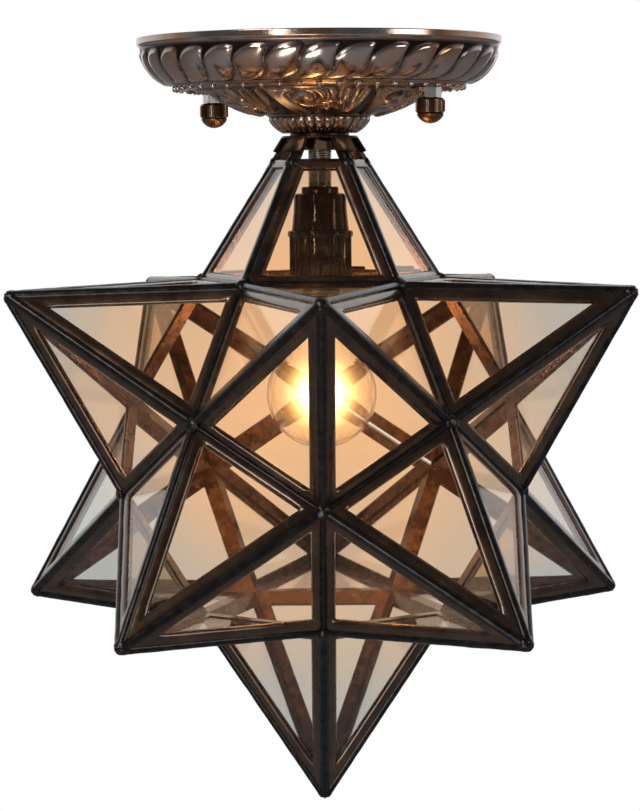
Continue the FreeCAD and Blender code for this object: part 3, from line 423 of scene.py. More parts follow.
def finish_nodes(material, *nodes):
    """Give CAD nodes that stay a better finish."""
    for node in nodes:
        for slot in frame["nodes"][node].material_slots:
            slot.material = material


# ------------------------------------------------------------- shader helpers

def join(tree, socket, value):
    """Link another node's socket, or set the value."""
    if isinstance(value, bpy.types.NodeSocket):
        tree.links.new(value, socket)
    else:
        socket.default_value = value


def feed(tree, node, **inputs):
    """Give a node values or other nodes' sockets; a name's underscores stand for spaces."""
    for key, value in inputs.items():
        join(tree, node.inputs[key.replace("_", " ")], value)


def put(tree, kind, props=None, **inputs):
    """A new node with its settings and inputs."""
    made = tree.nodes.new(kind)
    for key, value in (props or {}).items():
        setattr(made, key, value)
    feed(tree, made, **inputs)
    return made


def rgba(value):
    """A colour with its alpha, or the socket that gives it."""
    return value if isinstance(value, bpy.types.NodeSocket) else (*value[:3], 1.0)


def numbered(tree, kind, props, values):
    """A new node whose first inputs are filled in order."""
    made = put(tree, kind, props)
    for socket, value in zip(made.inputs, values):
        join(tree, socket, value)
    return made


def maths(tree, operation, first, second=0.0, clamp=False):
    made = numbered(tree, "ShaderNodeMath", {"operation": operation, "use_clamp": clamp}, (first, second))
    return made.outputs[0]


def plus(tree, first, second, clamp=False):
    return maths(tree, "ADD", first, second, clamp)


def minus(tree, first, second, clamp=False):
    return maths(tree, "SUBTRACT", first, second, clamp)


def times(tree, first, second):
    return maths(tree, "MULTIPLY", first, second)


def vectors(tree, operation, first, second=(0.0, 0.0, 0.0)):
    return numbered(tree, "ShaderNodeVectorMath", {"operation": operation}, (first, second)).outputs


def mixed_shader(tree, factor, first, second):
    return numbered(tree, "ShaderNodeMixShader", {}, (factor, first.outputs[0], second.outputs[0]))


def blend(tree, factor, first, second):
    """Mix two colours."""
    made = put(tree, "ShaderNodeMix", {"data_type": "RGBA"})
    for index, value in ((0, factor), (6, rgba(first)), (7, rgba(second))):
        join(tree, made.inputs[index], value)
    return made.outputs[2]


def ranged(tree, value, from_low, from_high, to_low=0.0, to_high=1.0):
    """A number carried over from one range to another, and held within it."""
    made = put(tree, "ShaderNodeMapRange", Value=value, From_Min=from_low, From_Max=from_high)
    feed(tree, made, To_Min=to_low, To_Max=to_high)
    return made.outputs["Result"]


def object_place(tree):
    return put(tree, "ShaderNodeTexCoord").outputs["Object"]


def cloud(tree, where, scale, detail=3.0, rough=0.5):
    made = put(tree, "ShaderNodeTexNoise", Vector=where, Scale=scale, Detail=detail, Roughness=rough)
    return made.outputs[0]


def bumped(tree, height, distance):
    return put(tree, "ShaderNodeBump", Height=height, Distance=distance, Strength=1.0).outputs["Normal"]


def clean_tree(owner):
    """The empty node tree of a material or a world."""
    owner.use_nodes = True
    owner.node_tree.nodes.clear()
    return owner.node_tree


def new_material(name):
    """A material with its tree, its main shader and its output."""
    material = bpy.data.materials.new(name)
    tree = clean_tree(material)
    shader = put(tree, "ShaderNodeBsdfPrincipled")
    out = put(tree, "ShaderNodeOutputMaterial", Surface=shader.outputs[0])
    return material, tree, shader, out


def handled_metal_group():
    """Hand finish of a metal: cloudy tone, fine specks, and the roughness and relief that go with them."""
    name = "handled_metal"
    if name in bpy.data.node_groups:
        return bpy.data.node_groups[name]
    tree = bpy.data.node_groups.new(name, "ShaderNodeTree")
    for way, kinds in (("INPUT", {"Base": "Color", "Worn": "Color", "Place": "Vector", "Wear": "Float",
                                  "Scale": "Float", "Smooth": "Float", "Matt": "Float"}),
                       ("OUTPUT", {"Color": "Color", "Roughness": "Float", "Height": "Float"})):
        for label, kind in kinds.items():
            tree.interface.new_socket(name=label, in_out=way, socket_type="NodeSocket" + kind)
    given = put(tree, "NodeGroupInput").outputs
    wear, smooth = given["Wear"], given["Smooth"]
    broad = cloud(tree, given["Place"], given["Scale"], 4.0, 0.6)
    fine = cloud(tree, given["Place"], times(tree, given["Scale"], 9.0), 3.0, 0.65)
    worn_patches = times(tree, ranged(tree, broad, 0.38, 0.68), wear)
    worn_specks = times(tree, ranged(tree, fine, 0.52, 0.70), times(tree, wear, 0.35))
    worn = plus(tree, worn_patches, worn_specks, clamp=True)
    tone = blend(tree, worn, given["Base"], given["Worn"])
    rough = plus(tree, smooth, times(tree, broad, minus(tree, given["Matt"], smooth)))
    height = plus(tree, times(tree, broad, 0.7), times(tree, fine, 0.3))
    put(tree, "NodeGroupOutput", Color=tone, Roughness=rough, Height=height)
    return tree


def handled(tree, base, worn, wear, scale, smooth, matt):
    """Place the hand finish group in a material's tree: its colour, roughness and height."""
    made = put(tree, "ShaderNodeGroup", {"node_tree": handled_metal_group()}, Place=object_place(tree))
    feed(tree, made, Base=rgba(base), Worn=rgba(worn), Wear=wear, Scale=scale, Smooth=smooth, Matt=matt)
    return made.outputs


# ------------------------------------------------------------------ finishes

# How far the painted light of the lamp reaches in the panes, in metres, and how it is stretched along each
# axis.
PAINTED_GLOW_WHOLE = 0.050
PAINTED_GLOW_GONE = 0.122
PAINTED_GLOW_STRETCH = Vector((1.0, 0.55, 0.85))
# Strength of the painted glow that the panes give off near the lamp.
PANE_PAINTED_GLOW = 0.003


def metal_finish(name, base, worn, wear=0.6, scale=180.0, smooth=0.22, matt=0.42, relief=0.00004):
    material, tree, shader, _ = new_material(name)
    metal = handled(tree, base, worn, wear, scale, smooth, matt)
    feed(tree, shader, Base_Color=metal["Color"], Roughness=metal["Roughness"], Metallic=1.0,
         Normal=bumped(tree, metal["Height"], relief))
    return material


def lighter(base, factor):
    return tuple(min(1.0, channel * factor) for channel in base)


def came_finish(finish):
    """Patinated came: dark, rubbed brighter in places, with the lamp's light painted as a lit copper tone on
    the side that faces the lamp.
    """
    material, tree, shader, _ = new_material("antique_came")
    # The mark is 1 on the came's inner side and a share on the crown's bars, where the lamp's light is
    # painted in.
    inside = put(tree, "ShaderNodeAttribute", {"attribute_name": "mark"}).outputs["Fac"]
    patina = handled(tree, finish.came, finish.came_worn, 0.5, 60.0, 0.16, 0.40)
    # Painted lamp light: the lit copper tone of the inner side.
    copper = handled(tree, lighter(finish.came_lamp_lit, 0.30), finish.came_lamp_lit, 0.9, 240.0, 0.3, 0.5)
    feed(tree, shader, Base_Color=blend(tree, inside, patina["Color"], copper["Color"]), Metallic=0.92,
         Roughness=patina["Roughness"], Coat_Weight=0.6, Coat_Roughness=0.08,
         Normal=bumped(tree, patina["Height"], 0.00009))
    return material


def solder_finish(finish):
    material, tree, shader, _ = new_material("black_solder")
    metal = handled(tree, finish.solder, lighter(finish.solder, 4.0), 0.45, 240.0, 0.12, 0.34)
    feed(tree, shader, Base_Color=metal["Color"], Roughness=metal["Roughness"], Metallic=0.85,
         Normal=bumped(tree, metal["Height"], 0.00016))
    return material


def pane_finish(finish, lamp_centre):
    """Clear glass with the lamp's light painted in: peach and faintly glowing near the lamp, a cool cream far
    from it.
    """
    material, tree, shader, out = new_material("clear_pane")
    place = object_place(tree)
    stretched = vectors(tree, "MULTIPLY", place, PAINTED_GLOW_STRETCH)[0]
    away = vectors(tree, "DISTANCE", stretched, PAINTED_GLOW_STRETCH * lamp_centre)["Value"]
    patches = ranged(tree, cloud(tree, place, 16.0, 2.0), 0.35, 0.65)
    # Share of painted lamp light, from 1 near the lamp to 0 far from it.
    warm = ranged(tree, plus(tree, away, times(tree, patches, 0.012)), PAINTED_GLOW_GONE, PAINTED_GLOW_WHOLE)
    cool = blend(tree, patches, finish.pane_far, (0.65, 0.665, 0.65))
    # A faint painted glow that the glass gives off near the lamp.
    painted_glow = times(tree, maths(tree, "POWER", warm, 2.0), PANE_PAINTED_GLOW)
    light = blend(tree, painted_glow, (0.0, 0.0, 0.0), finish.glow)
    feed(tree, shader, Base_Color=blend(tree, warm, cool, finish.pane_lamp_lit), Roughness=0.02, IOR=1.25,
         Transmission_Weight=1.0, Metallic=0.0, Emission_Color=light, Emission_Strength=1.0,
         Normal=bumped(tree, cloud(tree, place, 38.0, 1.0), 0.00005))
    passing_shadow(tree, shader, out, finish.pane_far)
    return material


def passing_shadow(tree, shader, out, tint):
    """Let light through to what stands behind the glass."""
    clear = put(tree, "ShaderNodeBsdfTransparent", Color=rgba(tint))
    shadow = put(tree, "ShaderNodeLightPath").outputs["Is Shadow Ray"]
    feed(tree, out, Surface=mixed_shader(tree, shadow, shader, clear).outputs[0])


def plate_finish(finish):
    """Pressed plate: bright on the raised work, dark in the hollows, with a copper bloom."""
    material, tree, shader, _ = new_material("plate_nickel")
    relief = put(tree, "ShaderNodeAttribute", {"attribute_name": "mark"}).outputs["Fac"]
    bloom = ranged(tree, cloud(tree, object_place(tree), 45.0, 3.0), 0.44, 0.66)
    raised = blend(tree, bloom, finish.plate, finish.plate_copper)
    metal = handled(tree, raised, lighter(finish.plate, 1.25), 0.35, 160.0, 0.07, 0.22)
    hollow = ranged(tree, relief, 0.85, 0.15)
    feed(tree, shader, Base_Color=blend(tree, hollow, metal["Color"], finish.plate_dark), Metallic=1.0,
         Roughness=plus(tree, metal["Roughness"], times(tree, hollow, 0.16)),
         Normal=bumped(tree, metal["Height"], 0.00006))
    return material


def bakelite_finish(finish):
    material, tree, shader, _ = new_material("black_bakelite")
    place = object_place(tree)
    flow = cloud(tree, place, 90.0, 4.0)
    tone = blend(tree, ranged(tree, flow, 0.4, 0.7), finish.bakelite, lighter(finish.bakelite, 2.4))
    feed(tree, shader, Base_Color=tone, Roughness=ranged(tree, flow, 0.3, 0.7, 0.10, 0.20), Coat_Weight=0.6,
         Coat_Roughness=0.05, Specular_IOR_Level=0.0,
         Normal=bumped(tree, cloud(tree, place, 300.0, 2.0), 0.00002))
    return material


def plastic_finish(name, base, rough=0.4):
    material, tree, shader, _ = new_material(name)
    place = object_place(tree)
    tone = blend(tree, ranged(tree, cloud(tree, place, 120.0, 3.0), 0.4, 0.7), base, lighter(base, 0.82))
    feed(tree, shader, Base_Color=tone, Roughness=rough,
         Normal=bumped(tree, cloud(tree, place, 700.0, 2.0), 0.00003))
    return material


def lamp_glass_finish(finish):
    """The lamp's clear ball, lit from within."""
    material, tree, shader, out = new_material("lamp_glass")
    ripple = ranged(tree, cloud(tree, object_place(tree), 60.0, 2.0), 0.3, 0.7, 0.75, 1.0)
    light = blend(tree, times(tree, ripple, 0.03), (0.0, 0.0, 0.0), finish.glow)
    tint = blend(tree, ripple, (1.0, 0.95, 0.86), (1.0, 0.98, 0.93))
    feed(tree, shader, Base_Color=tint, Roughness=0.02, Transmission_Weight=1.0, IOR=1.45, Metallic=0.0,
         Emission_Color=light, Emission_Strength=1.0)
    passing_shadow(tree, shader, out, (1.0, 0.95, 0.88))
    return material


def glowing_finish(name, tone, strength):
    material, tree, shader, _ = new_material(name)
    flicker = blend(tree, cloud(tree, object_place(tree), 400.0, 2.0), tone, lighter(tone, 0.9))
    feed(tree, shader, Base_Color=(0.1, 0.06, 0.03, 1.0), Roughness=0.5, Emission_Color=flicker,
         Emission_Strength=strength)
    return material


# ------------------------------------------------------------- geometry nodes

def ring_tree():
    """Geometry Nodes: copies of a piece on a circle about Z, each turned outwards."""
    name = "ring_of_pieces"
    if name in bpy.data.node_groups:
        return bpy.data.node_groups[name]
    tree = bpy.data.node_groups.new(name, "GeometryNodeTree")
    for socket, kind in (("Geometry", "Geometry"), ("Piece", "Object"), ("Count", "Int"), ("Radius", "Float"),
                         ("Height", "Float"), ("Material", "Material")):
        tree.interface.new_socket(name=socket, in_out="INPUT", socket_type="NodeSocket" + kind)
    tree.interface.new_socket(name="Geometry", in_out="OUTPUT", socket_type="NodeSocketGeometry")
    given = tree.nodes.new("NodeGroupInput").outputs
    places = put(tree, "GeometryNodeMeshCircle", Vertices=given["Count"], Radius=given["Radius"])
    outward = put(tree, "FunctionNodeAlignRotationToVector", {"axis": "X", "pivot_axis": "Z"},
                  Vector=put(tree, "GeometryNodeInputPosition").outputs[0])
    source = put(tree, "GeometryNodeObjectInfo", Object=given["Piece"], As_Instance=True)
    copies = put(tree, "GeometryNodeInstanceOnPoints", Points=places.outputs[0],
                 Instance=source.outputs["Geometry"], Rotation=outward.outputs[0])
    level = put(tree, "ShaderNodeCombineXYZ", Z=given["Height"])
    lifted = put(tree, "GeometryNodeTransform", Geometry=copies.outputs[0], Translation=level.outputs[0])
    real = put(tree, "GeometryNodeRealizeInstances", Geometry=lifted.outputs[0])
    finished = put(tree, "GeometryNodeSetMaterial", Geometry=real.outputs[0], Material=given["Material"])
    put(tree, "NodeGroupOutput", Geometry=finished.outputs[0])
    return tree


def ring_of(piece, number, radius, height, material):
    """A ring of copies of a shape, made by the Geometry Nodes tree, as one shape."""
    source = new_object("ring_piece", piece.mesh("ring_piece"))
    carrier = new_object("ring_carrier", bpy.data.meshes.new("ring_carrier"))
    modifier = carrier.modifiers.new("ring", "NODES")
    modifier.node_group = ring_tree()
    sockets = {item.name: item.identifier for item in modifier.node_group.interface.items_tree
               if item.item_type == "SOCKET" and item.in_out == "INPUT"}
    values = {"Piece": source, "Count": number, "Radius": radius, "Height": height, "Material": material}
    for key, value in values.items():
        modifier[sockets[key]] = value
    carrier.update_tag()
    bpy.context.view_layer.update()
    graph = bpy.context.evaluated_depsgraph_get()
    data = bpy.data.meshes.new_from_object(carrier.evaluated_get(graph))
    for item in (carrier, source):
        bpy.data.objects.remove(item, do_unlink=True)
    return shape_of(data)


def shape_of(data, mark=1.0):
    """Read a mesh back as a shape, so that it joins another."""
    verts = np.empty(len(data.vertices) * 3)
    data.vertices.foreach_get("co", verts)
    return Shape().add(verts, [tuple(face.vertices) for face in data.polygons], mark)


# --------------------------------------------------------------- star geometry

# The solder's place among a came's materials, and the share of the painted lamp-lit copper tone of the inner
# side on the crown's bars.
SOLDER = 1
BAR_LAMP_LIT = 0.25

# The came's rounded face: shares of its width at the sides and at the base, and its height in millimetres.
CAME_FACE = ((0.36, 0.25, 0.35), (0.58, 0.50, 0.50), (0.80, 0.75, 0.30))


def star_shape(sizes):
    """The star's worked sizes: a pentagon pyramid on each face of a twelve-faced core."""
    base, slant = sizes.pane_base, sizes.pane_slant
    apothem = base / (2 * math.tan(math.pi / 5))
    vertex = base / (2 * math.sin(math.pi / 5))
    core = base / 2 * math.sqrt(2.5 + 1.1 * math.sqrt(5))
    tall = math.sqrt(slant ** 2 - apothem ** 2)
    tilt = math.atan(tall / apothem)
    arris_turn = math.asin(math.sin(tilt) * math.sin(math.pi / 5))
    valley = math.pi - math.atan(core / apothem) - tilt
    return SimpleNamespace(base=base, slant=slant, apothem=apothem, vertex=vertex, core=core, tall=tall,
                           radius=core + tall, tilt=tilt, tip_half=math.atan(base / 2 / slant),
                           arris_turn=arris_turn, valley=valley, drop=sizes.star_drop)


def point_matrix(label, star):
    steps, tilt, half_turns = POINTS[label]
    return (Matrix.Translation((0, 0, -star.drop)) @ Matrix.Rotation(steps * PANE_STEP, 4, "Z")
            @ Matrix.Rotation(tilt, 4, "X") @ Matrix.Rotation(half_turns * math.pi, 4, "Z"))


def pane_matrix(index, star):
    return (Matrix.Rotation(index * PANE_STEP, 4, "Z") @ Matrix.Translation((0, -star.apothem, star.core))
            @ Matrix.Rotation(star.tilt, 4, "X"))


def triangle(star, side, base):
    """Corners of a pane's triangle drawn in by side along the arrises and by base along the valley."""
    half = star.base / 2 * (1 - base / star.slant) - side / math.cos(star.tip_half)
    return (-half, base), (half, base), (0.0, star.slant - side / math.sin(star.tip_half))


def came_frame(star, sizes, soldered, slim_from=None):
    """The came round one pane, in the pane's frame: a mitred triangle of one section.

    Above the height slim_from the side cames are slimmer."""
    thick = sizes.came_thick
    lean = math.tan(star.arris_turn)
    under = -1 / math.tan(star.valley) if soldered else 0.0
    gap = 0.0 if soldered else sizes.door_gap
    side, base = sizes.side_inset, sizes.base_inset + gap
    soft = 0.45 * MM
    section = [(thick * lean, gap + thick * under, -thick), (0.0, gap, 0.0)]
    section += [(side * across, gap + (base - gap) * up, high * MM) for across, up, high in CAME_FACE]
    section += [
        (side - 0.5 * soft, base - 0.5 * soft, -0.25 * MM),
        (side, base, -1.0 * MM),
        (side, base, -thick + 0.6 * MM),
        (side - soft, base - soft, -thick),
    ]
    steps = 16 if slim_from is None else 60
    verts, marks = [], []
    for inset, base_inset, level in section:
        slim = inset if slim_from is None else min(inset, sizes.slim_side)
        corners = [*triangle(star, inset, base_inset)[:2], triangle(star, slim, base_inset)[2]]
        for k in range(3):
            start, end = Vector(corners[k]), Vector(corners[(k + 1) % 3])
            for step in range(steps):
                flat = start.lerp(end, step / steps)
                if slim_from is not None and k > 0:
                    drawn_in = slim if flat.y > slim_from else inset
                    half = star.base / 2 * (1 - flat.y / star.slant) - drawn_in / math.cos(star.tip_half)
                    flat.x = half if k == 1 else -half
                wobble = noise.noise(Vector((flat.x, flat.y, 0.3)) * 140) * 0.14 * MM
                verts.append((flat.x, flat.y, level + (wobble if level > -thick / 2 else 0.0)))
                # The inner side is marked for the painted lamp-lit copper tone.
                marks.append(1.0 if level < -thick / 2 else 0.0)
    return closed_rings(verts, 3 * steps, marks)


def arris_ends(index, star):
    turn = Matrix.Rotation((index + 0.5) * PANE_STEP, 4, "Z")
    return turn @ Vector((0, -star.vertex, star.core)), Vector((0, 0, star.radius))


def solder_line(start, end, radius, outward, seed, reach=1.0):
    """A run of solder from one place towards another, a little uneven and half sunk."""
    points, radii = [], []
    for along in np.arange(27) * reach / 26:
        lump = (noise.noise(Vector((along * 9.0, seed, 0.0))) * 0.5
                + noise.noise(Vector((along * 26.0, seed, 5.0))) * 0.3)
        points.append(start.lerp(end, along) - outward * radius * 0.55)
        radii.append(radius * (1.0 + 0.16 * lump))
    return sweep(points, radii)


def plain_point(star, sizes, soldered, seed, slim_from=None):
    """Metal of one point on the vertical axis: five came frames, five ridges and the tip."""
    metal = Shape()
    frame_of_pane = came_frame(star, sizes, soldered, slim_from)
    for index in range(PANES):
        metal.merge(frame_of_pane, pane_matrix(index, star))
        foot, tip = arris_ends(index, star)
        outward = Vector((foot.x, foot.y, 0)).normalized()
        ridge = solder_line(foot, tip, sizes.ridge, outward, seed + index, 0.975)
        metal.merge(ridge.in_slot(SOLDER))
    centre = (0, 0, star.radius - sizes.tip_blob * 1.2)
    return metal.merge(blob(centre, sizes.tip_blob, seed=seed + 7.0, lump=0.08).in_slot(SOLDER))


def crown_point(star, sizes, cut_height, seed):
    """Metal of the top point: cut level under its cap, with a bar across the top of each pane."""
    wide = sizes.base_inset
    metal = plain_point(star, sizes, True, seed, sizes.crown_bar + wide - 0.8 * MM)
    data = metal.mesh("crown_cut")
    with edited(data) as work:
        bmesh.ops.bisect_plane(work, geom=work.verts[:] + work.edges[:] + work.faces[:],
                               plane_co=(0, 0, cut_height), plane_no=(0, 0, 1), clear_outer=True)
        bmesh.ops.holes_fill(work, edges=[edge for edge in work.edges if edge.is_boundary])
    marks = np.empty(len(data.vertices))
    data.attributes["mark"].data.foreach_get("value", marks)
    crown = shape_of(data, marks)
    crown.slots = [face.material_index for face in data.polygons]
    level = sizes.crown_bar + wide / 2
    edge = triangle(star, 2.4 * MM, level)[0][0]
    corner = triangle(star, 0.6 * MM, level)[0][0]
    points = [Vector((edge * (1 - 2 * step / 12), level, -sizes.came_thick / 2)) for step in range(13)]
    # The bars take a share of the painted lamp-lit copper tone.
    bar = flat_bar(points, wide / 2, sizes.came_thick / 2 + 0.7 * MM, BAR_LAMP_LIT)
    for index in range(PANES):
        crown.merge(bar, pane_matrix(index, star))
        spot = pane_matrix(index, star) @ Vector((corner, level, -0.9 * MM))
        outward = Vector((spot.x, spot.y, 0))
        crown.merge(blob(spot, 3.0 * MM, 0.8, outward, seed + index, 0.14).in_slot(SOLDER))
    return crown


def flat_bar(points, half_wide, half_thick, mark):
    """A flat bar along X with rounded edges."""
    def rounded(value, half):
        return math.copysign(abs(value) ** 0.5, value) * half

    section = [(rounded(math.cos(angle), half_wide), rounded(math.sin(angle), half_thick))
               for angle in (np.arange(12) + 0.5) * TURN / 12]
    verts = [point + Vector((0, across, up)) for point in points for across, up in section]
    faces = ring_faces(len(points), len(section))
    faces.append(tuple(range(len(section))))
    faces.append(tuple(range(len(verts) - len(section), len(verts))))
    return Shape().add(verts, faces, mark)


def place_key(place):
    """A place as a key, the same from either side of a valley."""
    return tuple(round(value, 4) for value in place)


def foot_corners(label, star):
    """The five corners of a point's foot."""
    return [point_matrix(label, star) @ arris_ends(index, star)[0] for index in range(PANES)]


def valley_metal(label, star, sizes, used):
    """Solder in the valleys and at the nodes round a point, left out where another point has it."""
    metal = Shape()
    centre = Vector((0, 0, -star.drop))
    corners = foot_corners(label, star)
    seed = sum(ord(letter) for letter in label) * 0.37
    for index, corner in enumerate(corners):
        following = corners[index - 1]
        middle = (corner + following) / 2
        if place_key(corner) not in used:
            outward = (corner - centre).normalized()
            metal.merge(blob(corner + outward * 0.5 * MM, sizes.node_blob, 0.62, outward, seed + index, 0.26))
        if place_key(middle) not in used:
            away = (middle - centre).normalized()
            metal.merge(solder_line(corner, following, sizes.valley_bead, -away * 0.4, seed + index * 1.7))
        used.update((place_key(corner), place_key(middle)))
    return metal.in_slot(SOLDER)


class PENDANT_OT_cames(bpy.types.Operator):
    """Make the soldered came of the twelve points"""
    bl_idname = "pendant.cames"
    bl_label = "Cames"

    def execute(self, context):
        choice = settings()
        sizes, star = choice.star, star_shape(choice.star)
        materials = [came_finish(choice.finish), solder_finish(choice.finish)]
        cut_height = star.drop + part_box("crown_frame")[1].z
        door = foot_corners("door", star)
        used = {place_key((corner + door[index - 1]) / 2) for index, corner in enumerate(door)}
        for number, label in enumerate(POINTS):
            if label == "crown":
                metal = crown_point(star, sizes, cut_height, 3.0)
            else:
                metal = plain_point(star, sizes, label != "door", 11.0 * number)
            whole = Shape().merge(metal, point_matrix(label, star))
            if label != "door":
                whole.merge(valley_metal(label, star, sizes, used))
            body = "door" if label == "door" else "root"
            show(label + "_came", whole, materials, label + "_frame", body, 50.0)
        return {"FINISHED"}


class PENDANT_OT_panes(bpy.types.Operator):
    """Finish the sixty glass panes"""
    bl_idname = "pendant.panes"
    bl_label = "Panes"

    def execute(self, context):
        glass = pane_finish(settings().finish, globe_centre())
        finish_nodes(glass, *(label + "_glass" for label in POINTS))
        return {"FINISHED"}


# --------------------------------------------------------------- pressed plate

def smooth_step(low, high, value):
    share = np.clip((value - low) / (high - low), 0.0, 1.0)
    return share * share * (3 - 2 * share)


def arc_through(start, middle, end, steps):
    """Points on the circle through three points, without the last."""
    (ax, ay), (bx, by), (cx, cy) = start, middle, end
    twice = 2 * (ax * (by - cy) + bx * (cy - ay) + cx * (ay - by))
    a2, b2, c2 = ax * ax + ay * ay, bx * bx + by * by, cx * cx + cy * cy
    x = (a2 * (by - cy) + b2 * (cy - ay) + c2 * (ay - by)) / twice
    y = (a2 * (cx - bx) + b2 * (ax - cx) + c2 * (bx - ax)) / twice
    radius = math.hypot(ax - x, ay - y)
    first = math.atan2(ay - y, ax - x)
    sweep_angle = (math.atan2(cy - y, cx - x) - first + math.pi) % TURN - math.pi
    return [(x + radius * math.cos(first + sweep_angle * k / steps),
             y + radius * math.sin(first + sweep_angle * k / steps)) for k in range(steps)]


def straight(start, end, steps):
    return [(start[0] + (end[0] - start[0]) * k / steps, start[1] + (end[1] - start[1]) * k / steps)
            for k in range(steps)]


def plate_section():
    """The plate's outer section from rim to tube: each place's zone, and its radius and height in metres."""
    low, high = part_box("canopy")
    rim, foot_z = high.x, low.z
    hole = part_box("threaded_tube")[1].x + 0.05 * MM
    rim_low, roll = -2.6 * MM, 1.2 * MM
    bead, bead_z = BEAD_ROW - 0.3 * MM, BEAD_LEVEL
    pad_z, pad = -21.2 * MM, 46.0 * MM
    boss, boss_z, foot = 21.0 * MM, -31.6 * MM, 13.3 * MM
    top = (rim - roll, rim_low - roll)
    step_out = (bead + 1.6 * MM, bead_z + 1.2 * MM)
    shoulder_mid = ((rim + bead) / 2 + 3.2 * MM, bead_z * 0.62)
    bowl_end = (boss + 1.2 * MM, boss_z)
    bowl_mid = ((pad + boss) / 2 + 1 * MM, (pad_z + boss_z) / 2 - 1.4 * MM)
    cove_mid = ((boss + foot) / 2 + 0.8 * MM, (boss_z + foot_z) / 2 - 1.2 * MM)
    zones = [
        ("rim", straight((rim, 0.0), (rim, rim_low), 6)),
        ("rim", straight((rim, rim_low), top, 4)),
        ("shoulder", arc_through(top, shoulder_mid, step_out, 40)),
        ("step", straight(step_out, (bead, bead_z), 4)),
        ("step", straight((bead, bead_z), (bead - 1.4 * MM, pad_z), 3)),
        ("bowl", straight((bead - 1.4 * MM, pad_z), (pad, pad_z), 14)),
        ("bowl", arc_through((pad, pad_z), bowl_mid, bowl_end, 44)),
        ("step", straight(bowl_end, (boss, boss_z - 0.8 * MM), 3)),
        ("boss", arc_through((boss, boss_z - 0.8 * MM), cove_mid, (foot, foot_z), 18)),
        ("foot", straight((foot, foot_z), (hole, foot_z), 5) + [(hole, foot_z)]),
    ]
    names = [name for name, points in zones for point in points]
    return np.array(names), np.array([point for name, points in zones for point in points])


def section_normals(section):
    """The direction square to a section at each of its places."""
    run = np.gradient(section, axis=0)
    run /= np.linalg.norm(run, axis=1)[:, None]
    return np.stack([-run[:, 1], run[:, 0]], axis=1)


def scroll_lines():
    """Centre lines of one repeat of the scroll work, -0.5 to 0.5 across and 0 to 1 down, and their widths."""
    def spiral(across, down, wide, start, turns, hand):
        steps = np.linspace(0.0, 1.0, 44)
        angle = math.radians(start) + hand * TURN * turns * steps
        radius = wide * (1.0 - 0.86 * steps ** 0.8)
        return np.stack([across + radius * np.cos(angle) * 0.9, down + radius * np.sin(angle)], axis=1)

    def bow(start, middle, end):
        share = np.linspace(0.0, 1.0, 26)[:, None]
        start, middle, end = np.array(start), np.array(middle), np.array(end)
        return (1 - share) ** 2 * start + 2 * share * (1 - share) * middle + share ** 2 * end

    lines = [
        (spiral(-0.13, 0.50, 0.27, 200, 1.35, 1), 0.075),
        (spiral(0.09, 0.66, 0.16, 20, 1.15, -1), 0.065),
        (bow((-0.40, 0.30), (-0.24, 0.02), (0.02, 0.24)), 0.07),
        (bow((0.02, 0.24), (0.15, 0.34), (0.12, 0.50)), 0.06),
        (bow((0.27, 0.06), (0.20, 0.78), (0.335, 0.80)), 0.055),
        (bow((0.335, 0.80), (0.47, 0.78), (0.42, 0.06)), 0.055),
        (bow((0.345, 0.10), (0.33, 0.60), (0.35, 0.66)), 0.035),
    ]
    for leaf in range(4):
        lines.append((bow((-0.50 + 0.045 * leaf, 0.16 + 0.05 * leaf), (-0.42 + 0.03 * leaf, 0.55),
                          (-0.30 + 0.05 * leaf, 0.93)), 0.038))
    return lines


def scroll_relief(radius, turn, repeats, inner, outer):
    """Height from 0 to 1 of the scroll work at a radius and angle."""
    sector = TURN / repeats
    across = (turn / sector) % 1.0 - 0.5
    down = (outer - radius) / (outer - inner)
    high = np.zeros_like(across)
    scale_across = sector * radius / (outer - inner)
    for line, wide in scroll_lines():
        away = np.full_like(across, 9.0)
        for x, y in line:
            shift = (across - x + 0.5) % 1.0 - 0.5
            away = np.minimum(away, np.hypot(shift * scale_across, down - y))
        high = np.maximum(high, 1.0 - smooth_step(0.0, 1.0, away / (wide * 1.25)) ** 0.8)
    edge = smooth_step(0.0, 0.07, down) * smooth_step(1.0, 0.93, down)
    return high * edge


def stud_place(sizes, side):
    """Where a stud stands; side is -1 for the left one and 1 for the right one."""
    reach = side * sizes.stud_reach
    return reach * math.cos(sizes.stud_turn), reach * math.sin(sizes.stud_turn)


